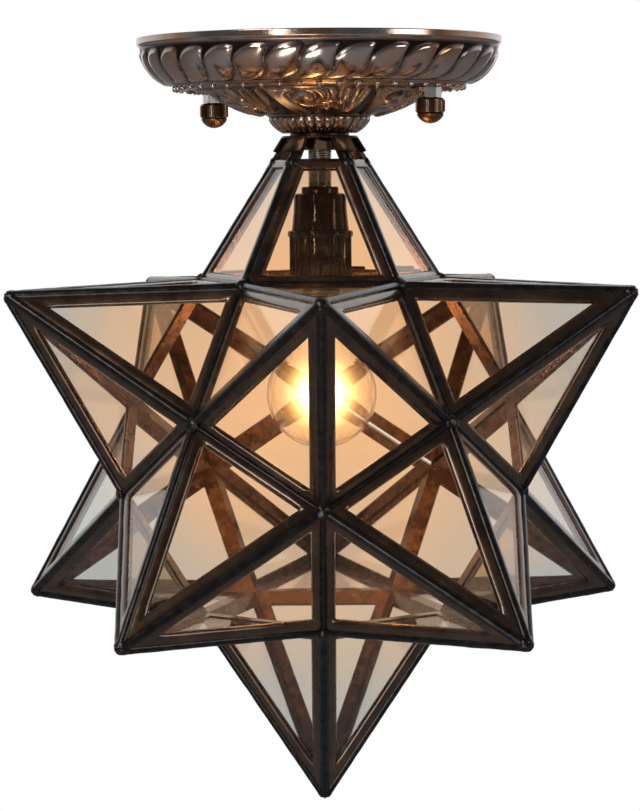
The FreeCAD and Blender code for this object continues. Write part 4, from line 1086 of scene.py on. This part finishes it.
def plate_relief(zone, radius, turn, sizes):
    """Relief in metres and its shade from 0 to 1, for each ring of the section and each angle."""
    raised = np.zeros(radius.shape)
    shade = np.full(radius.shape, 0.62)

    rows = zone == "shoulder"
    along = np.linspace(0.0, 1.0, rows.sum())[:, None]
    phase = (sizes.flutes * turn[rows] / TURN + 1.15 * along + 0.16 * np.sin(TURN * along)) % 1.0 - 0.5
    arch = 0.10 + 0.34 * (2 * phase) ** 4
    lobe = np.sqrt(np.clip(1.0 - (2 * phase) ** 2, 0.0, 1.0))
    window = smooth_step(arch - 0.05, arch + 0.05, along) * smooth_step(1.02, 0.86, along)
    raised[rows] = sizes.flute_high * (lobe * window - 0.35 * smooth_step(0.02, 0.12, along))
    shade[rows] = 0.10 + 0.90 * lobe * window + 0.35 * smooth_step(0.06, 0.0, along)

    rows = zone == "bowl"
    bowl_radius = radius[rows]
    work = scroll_relief(bowl_radius, turn[rows], sizes.scrolls, 22.6 * MM, 56.0 * MM)
    studs = np.ones_like(bowl_radius)
    for side in (1, -1):
        x, y = stud_place(sizes, side)
        away = np.hypot(bowl_radius * np.cos(turn[rows]) - x, bowl_radius * np.sin(turn[rows]) - y)
        studs *= smooth_step(6.5 * MM, 10.0 * MM, away)
    raised[rows] = sizes.scroll_high * work * studs
    shade[rows] = 0.22 + 0.78 * work * studs

    rows = zone == "boss"
    along = np.linspace(0.0, 1.0, rows.sum())[:, None]
    lobe = np.abs(np.sin(sizes.boss_flutes * turn[rows] / 2)) ** 0.6
    window = smooth_step(0.0, 0.12, along) * smooth_step(1.0, 0.86, along)
    raised[rows] = 0.75 * MM * lobe * window
    shade[rows] = 0.10 + 0.9 * lobe * window

    shade[zone == "rim"] = 0.80
    return raised, np.clip(shade, 0.0, 1.0)


def plate_shape(sizes, around=600):
    """The pressed plate: relief outside, plain sheet inside, joined at the rim and at the hole."""
    zone, section = plate_section()
    turn = np.broadcast_to(np.arange(around) * TURN / around, (len(zone), around))
    radius, height = (np.broadcast_to(section[:, axis:axis + 1], turn.shape) for axis in (0, 1))
    raised, shade = plate_relief(zone, radius, turn, sizes)
    normal = section_normals(section)
    outer_r = radius + raised * normal[:, :1]
    outer_z = height + raised * normal[:, 1:]
    outer_z[0] = 0.0
    inner_rows = list(range(len(section) - 1, 0, -4)) + [0]
    inner_r = radius[inner_rows] - sizes.sheet * normal[inner_rows, :1]
    inner_z = height[inner_rows] - sizes.sheet * normal[inner_rows, 1:]
    inner_r[0], inner_z[-1] = radius[-1], 0.0
    all_r = np.concatenate([outer_r, inner_r])
    all_z = np.concatenate([outer_z, inner_z])
    turn = np.broadcast_to(turn[0], all_r.shape)
    marks = np.concatenate([shade, np.full(inner_r.shape, 0.3)])
    verts = np.stack([all_r * np.cos(turn), all_r * np.sin(turn), all_z], axis=-1).reshape(-1, 3)
    return closed_rings(verts, around, marks.reshape(-1))


class PENDANT_OT_plate(bpy.types.Operator):
    """Make the pressed plate with its flutes, beads and scroll work"""
    bl_idname = "pendant.plate"
    bl_label = "Pressed plate"

    def execute(self, context):
        choice = settings()
        sizes = choice.plate
        material = plate_finish(choice.finish)
        plate = plate_shape(sizes)
        radius = sizes.bead_radius
        angles = [step * math.pi / 7 for step in range(1, 7)]
        bow = [(radius * math.sin(angle), radius * math.cos(angle)) for angle in angles]
        bead = lathe([(0.0, radius), *bow, (0.0, -radius)], 12)
        plate.merge(ring_of(bead, sizes.beads, BEAD_ROW, BEAD_LEVEL, material))
        show("pressed_plate", plate, [material], "canopy", sharp=0)
        return {"FINISHED"}


class PENDANT_OT_plate_fixings(bpy.types.Operator):
    """Make the knurled nuts and finish the studs, the hexagon nuts and the ceiling strap"""
    bl_idname = "pendant.plate_fixings"
    bl_label = "Plate fixings"

    def execute(self, context):
        choice = settings()
        sizes, finish = choice.plate, choice.finish
        steel, bronze, copper = finish.steel, finish.knurled, finish.button
        zinc = metal_finish("zinc_steel", steel, lighter(steel, 1.3), 0.5, 140.0, 0.18, 0.38)
        dark = metal_finish("dark_bronze", bronze, lighter(bronze, 2.4), 0.6, 300.0, 0.22, 0.4)
        warm = metal_finish("copper_bronze", copper, lighter(copper, 1.7), 0.5, 200.0, 0.18, 0.36)
        low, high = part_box("canopy_hex_nuts")
        nuts = Shape()
        for side, word in ((-1, "left"), (1, "right")):
            there = Matrix.Translation((*stud_place(sizes, side), 0))
            there = there @ Matrix.Rotation(sizes.stud_turn, 4, "Z")
            nuts.merge(hexagon_nut(STUD_NUT_FLATS, high.z - low.z, STUD_BORE, low.z), there)
            self.knurled_nut(word, there, choice.lamp.knurls, dark)
            self.button(word, there, warm)
        show("hexagon_nuts", nuts, [zinc], "canopy_hex_nuts", sharp=30.0)
        for node in ("ceiling_strap", "earth_screw"):
            softened(node, 0.25 * MM, zinc)
        finish_nodes(zinc, "canopy_studs")
        return {"FINISHED"}

    def knurled_nut(self, word, there, knurls, material):
        low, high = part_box("knurled_nut_" + word)
        edge, depth, half = 0.7 * MM, 0.35 * MM, 0.30 * MM
        core = (high.x - low.x) / 2 - depth
        pocket = high.z - 5.2 * MM
        profile = [(STUD_BORE, high.z), (core - edge, high.z), (core, high.z - edge), (core, low.z + edge),
                   (core - edge, low.z), (0.0, low.z), (0.0, pocket), (STUD_BORE, pocket)]
        top = (high.z - low.z) / 2 - edge
        ridge = Shape().add([(-depth, -half, -top), (depth, 0, -top + depth), (-depth, half, -top),
                             (-depth, -half, top), (depth, 0, top - depth), (-depth, half, top)],
                            [(0, 1, 2), (3, 5, 4), (0, 3, 4, 1), (1, 4, 5, 2), (0, 2, 5, 3)])
        row = ring_of(ridge, knurls, core, (low.z + high.z) / 2, material)
        whole = Shape().merge(lathe(profile, 96, closed=True), there).merge(row, there)
        node = "knurled_nut_" + word
        show(node + "_turned", whole, [material], node, word + "_nut", 30.0)

    def button(self, word, there, material):
        low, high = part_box("nut_button_" + word)
        radius, tall = (high.x - low.x) / 2, high.z - low.z
        ball = (radius ** 2 + tall ** 2) / (2 * tall)
        half = math.asin(radius / ball)
        dome = [(ball * math.sin(half * step / 12), low.z + ball - ball * math.cos(half * step / 12))
                for step in range(13)]
        dome[0] = (0.0, low.z)
        whole = Shape().merge(lathe(dome + [(0.0, high.z)], 48), there)
        show("button_" + word, whole, [material], "nut_button_" + word, word + "_nut_carriage")


# ------------------------------------------------------- crown cap, tube, nuts

class PENDANT_OT_crown_fittings(bpy.types.Operator):
    """Make the crown cap, the threaded tube and its nuts and washers"""
    bl_idname = "pendant.crown_fittings"
    bl_label = "Crown fittings"

    def execute(self, context):
        choice = settings()
        finish = choice.finish
        patina, blackened = lighter(finish.came, 1.3), lighter(finish.came, 0.45)
        cap = metal_finish("antique_cap", patina, finish.came_worn, 0.7, 120.0, relief=0.00008)
        steel = metal_finish("tube_steel", finish.tube, lighter(finish.tube, 1.6), 0.55, 260.0, 0.16, 0.34)
        black = metal_finish("black_steel", blackened, lighter(finish.came, 2.0), 0.4, 220.0, 0.2, 0.4)
        softened("crown_cap", 0.3 * MM, cap)
        softened("spacer_ring", 0.25 * MM, black)
        softened("tube_washer", 0.2 * MM, black)
        tube = threaded_pipe("threaded_tube", 0.42 * MM, choice.lamp.tube_pitch, 1.0 * MM)
        show("threaded_tube_cut", tube, [steel], "threaded_tube", sharp=60.0)
        self.nuts(black)
        self.lock_washer(black)
        return {"FINISHED"}

    def nuts(self, material):
        low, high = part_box("tube_nuts")
        tall = 4.0 * MM
        pair = Shape()
        for level in (low.z, high.z - tall):
            pair.merge(hexagon_nut(TUBE_NUT_FLATS, tall, TUBE_BORE, level), Matrix.Rotation(0.35, 4, "Z"))
        show("hexagon_tube_nuts", pair, [material], "tube_nuts", sharp=30.0)

    def lock_washer(self, material):
        low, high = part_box("lock_washer")
        root, reach, half, tall = -0.2 * MM, 1.1 * MM, 0.42 * MM, (high.z - low.z) / 2
        core = high.x - reach
        profile = [(TUBE_BORE, high.z), (core, high.z), (core, low.z), (TUBE_BORE, low.z)]
        body = lathe(profile, 80, closed=True)
        under = [(root, -half, -tall), (reach, -half, -tall * 0.2), (reach, half, -tall), (root, half, -tall)]
        over = [(root, -half, tall), (reach, -half, tall), (reach, half, tall * 0.2), (root, half, tall)]
        tooth = Shape().add(under + over, [(0, 3, 2, 1), (4, 5, 6, 7)] + ring_faces(2, 4))
        body.merge(ring_of(tooth, 24, core, (low.z + high.z) / 2, material))
        show("toothed_washer", body, [material], "lock_washer", sharp=30.0)


# ------------------------------------------------------------------- holder

class PENDANT_OT_holder(bpy.types.Operator):
    """Make the black lamp holder: cap, ribbed skirt, insert and screw shell"""
    bl_idname = "pendant.holder"
    bl_label = "Lamp holder"

    def execute(self, context):
        choice = settings()
        finish = choice.finish
        black = bakelite_finish(finish)
        brass = metal_finish("plain_brass", finish.brass, lighter(finish.brass, 1.4), 0.5, 200.0, 0.16, 0.34)
        white = plastic_finish("white_ceramic", (0.82, 0.80, 0.75), 0.32)
        self.cap(black)
        self.skirt(choice.lamp, black)
        shell = threaded_pipe("screw_shell", 0.55 * MM, choice.lamp.screw_pitch, 0.62 * MM, round_form=True)
        show("screw_shell_rolled", shell, [brass], "screw_shell", sharp=60.0)
        softened("holder_insert", 0.4 * MM, white)
        finish_nodes(brass, "centre_contact", "terminal_screws")
        return {"FINISHED"}

    def cap(self, material):
        low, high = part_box("holder_cap")
        step, top = high.x, high.z
        neck, shoulder, inside = 7.7 * MM, 10.85 * MM, step - 2.3 * MM
        under_neck = top - 2.6 * MM
        profile = [(TUBE_BORE, top), (neck - 0.5 * MM, top), (neck, top - 0.5 * MM), (neck, under_neck),
                   (shoulder - 1.6 * MM, under_neck - 0.1 * MM), (shoulder - 0.5 * MM, under_neck - 0.5 * MM),
                   (shoulder, under_neck - 1.7 * MM), (shoulder + 0.2 * MM, top - 10 * MM),
                   (step - 0.25 * MM, low.z + 1.6 * MM), (step, low.z + 0.5 * MM), (step - 0.3 * MM, low.z),
                   (inside, low.z), (inside, top - 9 * MM), (TUBE_BORE, top - 9 * MM)]
        show("holder_cap_moulded", lathe(profile, 96, closed=True), [material], "holder_cap", sharp=38.0)

    def skirt(self, sizes, material):
        low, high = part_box("holder_skirt")
        flange, top = high.x, high.z
        radius, wall, root = 12.9 * MM, 1.6 * MM, -0.3 * MM
        half, reach = 0.62 * MM, 0.45 * MM
        core, rib_top, rib_low = radius - reach, top - 3.0 * MM, low.z + 0.8 * MM
        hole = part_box("holder_insert")[1].x + 0.1 * MM
        profile = [(hole, top), (flange - 0.9 * MM, top), (flange - 0.25 * MM, top - 0.3 * MM),
                   (flange, top - MM), (flange, top - 2.1 * MM), (flange - 0.3 * MM, top - 2.6 * MM),
                   (core, top - 3.1 * MM), (core, rib_low), (radius - 0.8 * MM, low.z),
                   (radius - wall, low.z), (radius - wall, top - wall), (hole, top - wall)]
        skirt = lathe(profile, 120, closed=True)
        section = [(root, -half), (reach * 0.7, -half * 0.6), (reach, 0.0), (reach * 0.7, half * 0.6),
                   (root, half)]
        tall = (rib_top - rib_low) / 2
        levels = ((-tall, 0.5), (-tall + 0.5 * MM, 1.0), (tall, 1.0))
        verts = [(root + (x - root) * shrink, y, z) for z, shrink in levels for x, y in section]
        rib = Shape().add(verts, ring_faces(3, 5) + [(0, 1, 2, 3, 4), (10, 11, 12, 13, 14)])
        skirt.merge(ring_of(rib, sizes.skirt_ribs, core, (rib_top + rib_low) / 2, material))
        show("holder_skirt_ribbed", skirt, [material], "holder_skirt", sharp=38.0)


# ---------------------------------------------------------------------- lamp

class PENDANT_OT_lamp(bpy.types.Operator):
    """Make the lit globe lamp: glass ball, screw base, stem and coiled filament"""
    bl_idname = "pendant.lamp"
    bl_label = "Lamp"

    def execute(self, context):
        choice = settings()
        sizes, finish = choice.lamp, choice.finish
        nickel = metal_finish("lamp_nickel", (0.66, 0.63, 0.58), (0.85, 0.82, 0.76), 0.5, 220.0, 0.14, 0.3)
        tin = metal_finish("lamp_tin", (0.52, 0.52, 0.5), (0.75, 0.75, 0.72), 0.5, 260.0, 0.25, 0.45)
        black = plastic_finish("black_glass", (0.012, 0.012, 0.014), 0.2)
        glass = lamp_glass_finish(finish)
        self.globe(sizes.globe_radius, globe_centre().z, glass)
        self.base(sizes, nickel)
        self.stem(glass)
        self.filament(sizes, globe_centre())
        finish_nodes(tin, "lamp_eyelet")
        finish_nodes(black, "lamp_insulator")
        return {"FINISHED"}

    def globe(self, ball, level, material):
        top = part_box("lamp_globe")[1].z
        neck, neck_low, wall = 6.2 * MM, top - 13 * MM, 0.7 * MM
        start = math.radians(58)
        bow = [(ball * math.sin(angle), level + ball * math.cos(angle))
               for angle in start + (math.pi - start) * np.arange(26) / 26]
        waist = ((neck + bow[0][0]) / 2 - 2 * MM, (neck_low + bow[0][1]) / 2 + 0.6 * MM)
        outer = straight((neck, top), (neck, neck_low), 4)
        outer += arc_through((neck, neck_low), waist, bow[0], 14) + bow + [(0.0, level - ball)]
        inner = np.array(outer) - wall * section_normals(outer)
        inner[0] = (neck - wall, top)
        inner[-1] = (0.0, level - ball + wall)
        profile = outer + [tuple(item) for item in inner[::-1]]
        show("globe", lathe(profile, 72, closed=True), [material], "lamp_globe", "lamp", 0)

    def base(self, sizes, material):
        low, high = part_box("lamp_base")
        radius, flare, around = sizes.base_radius, high.x, 60
        screw_top, screw_low = high.z - 1.8 * MM, low.z + 4.5 * MM
        inside = radius - 1.2 * MM
        foot = [(flare, low.z), (flare - 0.2 * MM, low.z + 0.4 * MM), (radius + 0.35 * MM, low.z + 3 * MM)]
        rest = [(radius - 0.9 * MM, screw_top + 0.8 * MM), (4.5 * MM, high.z), (4.0 * MM, high.z - 0.5 * MM),
                (inside, screw_top - 0.5 * MM), (inside, screw_low), (flare - 0.5 * MM, low.z)]
        thread = threaded(radius, 0.6 * MM, sizes.screw_pitch, screw_low, screw_top, around, True)
        verts = circles(foot, around) + thread + circles(rest, around)
        show("screw_base", closed_rings(verts, around), [material], "lamp_base", "lamp", 60.0)

    def stem(self, material):
        low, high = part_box("lamp_stem")
        profile = [(0.0, high.z), (high.x - 0.2 * MM, high.z), (high.x, high.z - 0.6 * MM),
                   (high.x * 0.7, high.z - 5 * MM), (2.2 * MM, high.z - 12 * MM), (1.7 * MM, low.z + 3 * MM),
                   (1.9 * MM, low.z + 1.4 * MM), (1.4 * MM, low.z + 0.4 * MM), (0.0, low.z)]
        show("glass_stem", lathe(profile, 40), [material], "lamp_stem", "lamp", 60.0)

    def filament(self, sizes, centre):
        hot = glowing_finish("hot_wire", (1.0, 0.72, 0.36), 14.0)
        warm = metal_finish("support_wire", (0.30, 0.22, 0.15), (0.5, 0.4, 0.3), 0.5, 300.0)
        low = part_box("lamp_stem")[0].z
        half_gap = math.radians(20)
        coil_wire, support_wire = 0.16 * MM, 0.22 * MM
        start, end = math.pi / 2 - half_gap, math.pi / 2 + half_gap - TURN
        steps = sizes.coil_turns * 10
        path = []
        for step in range(steps + 1):
            angle = start + (end - start) * step / steps
            twist = TURN * sizes.coil_turns * step / steps
            reach = sizes.coil_ring + sizes.coil_radius * math.cos(twist)
            path.append(centre + Vector((reach * math.cos(angle), reach * math.sin(angle),
                                         sizes.coil_radius * math.sin(twist))))
        whole = sweep(path, [coil_wire] * len(path), 5)
        for angle in (start, (start + end) / 2, end):
            outward = Vector((math.cos(angle), math.sin(angle), 0))
            ring_point = centre + outward * sizes.coil_ring
            foot = outward * MM + Vector((0, 0, low + 0.6 * MM))
            middle = (ring_point + foot) / 2 + (outward + Vector((0, 0, 0.4))) * 1.2 * MM
            points = [foot.lerp(middle, k / 8).lerp(middle.lerp(ring_point, k / 8), k / 8) for k in range(9)]
            whole.merge(sweep(points, [support_wire] * len(points), 8).in_slot(1))
        show("coiled_filament", whole, [hot, warm], "lamp_filament", "lamp", 0)


# ------------------------------------------------------------ wiring and door

class PENDANT_OT_wiring(bpy.types.Operator):
    """Finish the leads, the terminal block and the earth lead"""
    bl_idname = "pendant.wiring"
    bl_label = "Wiring"

    def execute(self, context):
        nylon = plastic_finish("white_nylon", (0.78, 0.77, 0.72), 0.38)
        sleeve = plastic_finish("lead_sleeve", (0.16, 0.09, 0.05), 0.42)
        earth = plastic_finish("earth_sleeve", (0.16, 0.34, 0.08), 0.42)
        softened("terminal_block", 0.5 * MM, nylon)
        for node, material in (("supply_leads", sleeve), ("earth_lead", earth)):
            softened(node, 0.02 * MM, material, 1, 70.0)
        return {"FINISHED"}


class PENDANT_OT_door_fittings(bpy.types.Operator):
    """Finish the hinge, its pin, and the hook that keeps the hinged point shut"""
    bl_idname = "pendant.door_fittings"
    bl_label = "Door fittings"

    def execute(self, context):
        finish = settings().finish
        dark, worn = lighter(finish.came, 1.5), lighter(finish.came_worn, 1.2)
        hinge = metal_finish("antique_hinge", dark, worn, 0.8, 200.0)
        for node in ("hinge_leaves_fixed", "hinge_leaf_door", "hinge_pin", "hook_pivot", "door_peg"):
            softened(node, 0.12 * MM, hinge)
        softened("door_hook", 0.05 * MM, hinge, 1, 60.0)
        return {"FINISHED"}


# --------------------------------------------------------------------- stage

WHITE = (1.0, 1.0, 1.0, 1.0)

# The room's light, and what mirrored rays see of it towards the front and towards the back.
ROOM_LEVEL = 0.45
FRONT_LEVEL = 0.10
BACK_LEVEL = 0.95

FLOOR_LEVEL = -0.75
FLOOR_REACH = 6.0

# name: (place, width, height, power)
LAMPS = {
    "key": ((-0.9, -1.1, 0.65), 0.5, 0.5, 9.0),
    "fill": ((1.2, -0.8, 0.1), 0.6, 0.6, 4.0),
    "strip": ((-0.55, -1.25, -0.05), 0.10, 0.60, 3.5),
    "back": ((0.1, 0.9, 1.3), 0.8, 0.8, 6.0),
    "low": ((-0.2, -0.7, -0.70), 0.4, 0.4, 2.5),
}
LAMPS_FACE = Vector((0, 0, -0.15))

CAMERA_PLACE = (-1.25 * MM, -1097.0 * MM, -59.95 * MM)
CAMERA_TURN = (85.179, 0.463, -0.065)
CAMERA_LENS = 116.71


class PENDANT_OT_stage(bpy.types.Operator):
    """Set up the pale floor, the white backdrop, the soft lights and the camera"""
    bl_idname = "pendant.stage"
    bl_label = "Stage"

    def execute(self, context):
        scene = context.scene
        scene.view_settings.view_transform = "Standard"
        self.world(scene)
        self.floor()
        self.lamps()
        self.lamp_light()
        self.camera(scene)
        return {"FINISHED"}

    def world(self, scene):
        """A white backdrop in a plain room that is darker in front and brighter behind in mirrored rays."""
        world = bpy.data.worlds.new("studio")
        tree = clean_tree(world)
        ray = put(tree, "ShaderNodeLightPath").outputs
        direct = plus(tree, ray["Is Camera Ray"], ray["Is Transmission Ray"], clamp=True)
        turned = plus(tree, ray["Diffuse Depth"], ray["Glossy Depth"], clamp=True)
        seen = minus(tree, direct, turned, clamp=True)
        mirrored = maths(tree, "MINIMUM", ray["Glossy Depth"], 1.0)
        towards = put(tree, "ShaderNodeTexCoord").outputs["Generated"]
        back = put(tree, "ShaderNodeSeparateXYZ", Vector=towards).outputs["Y"]
        backdrop = ranged(tree, back, -0.25, 0.80, FRONT_LEVEL, BACK_LEVEL)
        room = plus(tree, ROOM_LEVEL, times(tree, mirrored, minus(tree, backdrop, ROOM_LEVEL)))
        light = put(tree, "ShaderNodeBackground", Color=WHITE, Strength=plus(tree, room, seen, clamp=True))
        put(tree, "ShaderNodeOutputWorld", Surface=light.outputs[0])
        scene.world = world

    def floor(self):
        """Pale paper that fades to white far from the part, and is darker in mirrored rays."""
        material, tree, shader, out = new_material("pale_floor")
        ray = put(tree, "ShaderNodeLightPath").outputs
        tone = blend(tree, cloud(tree, object_place(tree), 3.0, 2.0), (0.86, 0.86, 0.86), (0.90, 0.90, 0.90))
        tone = blend(tree, ray["Is Glossy Ray"], tone, (0.30, 0.30, 0.31))
        feed(tree, shader, Base_Color=tone, Roughness=0.7)
        plain = put(tree, "ShaderNodeEmission", Color=WHITE, Strength=1.0)
        seen = plus(tree, ray["Is Camera Ray"], ray["Is Transmission Ray"], clamp=True)
        paper = ranged(tree, vectors(tree, "LENGTH", object_place(tree))["Value"], 0.85, 1.6, 0.80, 1.0)
        whole = mixed_shader(tree, times(tree, seen, paper), shader, plain)
        feed(tree, out, Surface=whole.outputs[0])
        data = bpy.data.meshes.new("floor")
        square = ((-1, -1), (1, -1), (1, 1), (-1, 1))
        corners = [(FLOOR_REACH * x, FLOOR_REACH * y, FLOOR_LEVEL) for x, y in square]
        data.from_pydata(corners, [], [(0, 1, 2, 3)])
        data.materials.append(material)
        new_object("floor", data)

    def lamps(self):
        for name, (place, wide, tall, power) in LAMPS.items():
            data = bpy.data.lights.new(name, "AREA")
            data.shape = "RECTANGLE"
            data.size = wide
            data.size_y = tall
            data.energy = power
            lamp = new_object(name, data, place)
            lamp.rotation_euler = (LAMPS_FACE - lamp.location).to_track_quat("-Z", "Y").to_euler()

    def lamp_light(self):
        """The lit lamp: a warm light in the globe, and the haze of light seen round the filament."""
        centre = globe_centre()
        data = bpy.data.lights.new("lamp_light", "POINT")
        data.color = (1.0, 0.74, 0.48)
        data.energy = 0.9
        data.shadow_soft_size = 6 * MM
        lamp = new_object("lamp_light", data, centre)
        lamp.visible_camera = False
        lamp.visible_transmission = False
        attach(lamp, "lamp")
        haze = blob(centre, 20.5 * MM, lump=0.0).mesh("lamp_haze")
        haze.materials.append(self.haze_finish(centre))
        ball = new_object("lamp_haze", haze)
        ball.visible_shadow = False
        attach(ball, "lamp")

    def haze_finish(self, centre):
        """Light that is strongest at the filament and dies away towards the globe."""
        material = bpy.data.materials.new("lamp_haze")
        tree = clean_tree(material)
        away = vectors(tree, "DISTANCE", object_place(tree), centre)["Value"]

        def fading(tone, reach, power):
            share = maths(tree, "POWER", maths(tree, "DIVIDE", away, reach), 2.0)
            strength = times(tree, maths(tree, "EXPONENT", times(tree, share, -1.0)), power)
            return put(tree, "ShaderNodeEmission", Color=rgba(tone), Strength=strength).outputs[0]

        core = fading((1.0, 0.74, 0.36), 8.0 * MM, 1100.0)
        halo = fading((1.0, 0.56, 0.16), 13.5 * MM, 28.0)
        both = numbered(tree, "ShaderNodeAddShader", {}, (core, halo))
        put(tree, "ShaderNodeOutputMaterial", Volume=both.outputs[0])
        return material

    def camera(self, scene):
        data = bpy.data.cameras.new("front_view")
        data.sensor_width = 36.0
        data.lens = CAMERA_LENS
        data.clip_end = 50.0
        camera = new_object("front_view", data, CAMERA_PLACE)
        camera.rotation_euler = [math.radians(angle) for angle in CAMERA_TURN]
        scene.camera = camera


# --------------------------------------------------------------------- panel

OPERATORS = (
    PENDANT_OT_plate,
    PENDANT_OT_plate_fixings,
    PENDANT_OT_crown_fittings,
    PENDANT_OT_cames,
    PENDANT_OT_panes,
    PENDANT_OT_holder,
    PENDANT_OT_lamp,
    PENDANT_OT_wiring,
    PENDANT_OT_door_fittings,
    PENDANT_OT_stage,
)


class PENDANT_PT_pieces(bpy.types.Panel):
    """The pendant's pieces and their sizes"""
    bl_idname = "PENDANT_PT_pieces"
    bl_label = "Star pendant"
    bl_space_type = "VIEW_3D"
    bl_region_type = "UI"
    bl_category = "Star pendant"

    def draw(self, context):
        layout = self.layout
        for operator in OPERATORS:
            layout.operator(operator.bl_idname)
        choice = context.scene.star_pendant
        for title, group in (("Star", choice.star), ("Plate", choice.plate), ("Lamp", choice.lamp),
                             ("Finishes", choice.finish)):
            box = layout.box()
            box.label(text=title)
            for name in group.bl_rna.properties.keys():
                if name not in ("rna_type", "name"):
                    box.prop(group, name)


CLASSES = (StarSizes, PlateSizes, LampSizes, Finishes, PendantSettings, *OPERATORS, PENDANT_PT_pieces)


def register():
    for item in CLASSES:
        bpy.utils.register_class(item)
    bpy.types.Scene.star_pendant = bpy.props.PointerProperty(type=PendantSettings)


def unregister():
    del bpy.types.Scene.star_pendant
    for item in reversed(CLASSES):
        bpy.utils.unregister_class(item)


def main():
    register()
    for operator in OPERATORS:
        family, name = operator.bl_idname.split(".")
        getattr(getattr(bpy.ops, family), name)()
    bpy.context.view_layer.update()


if __name__ == "__main__":
    main()
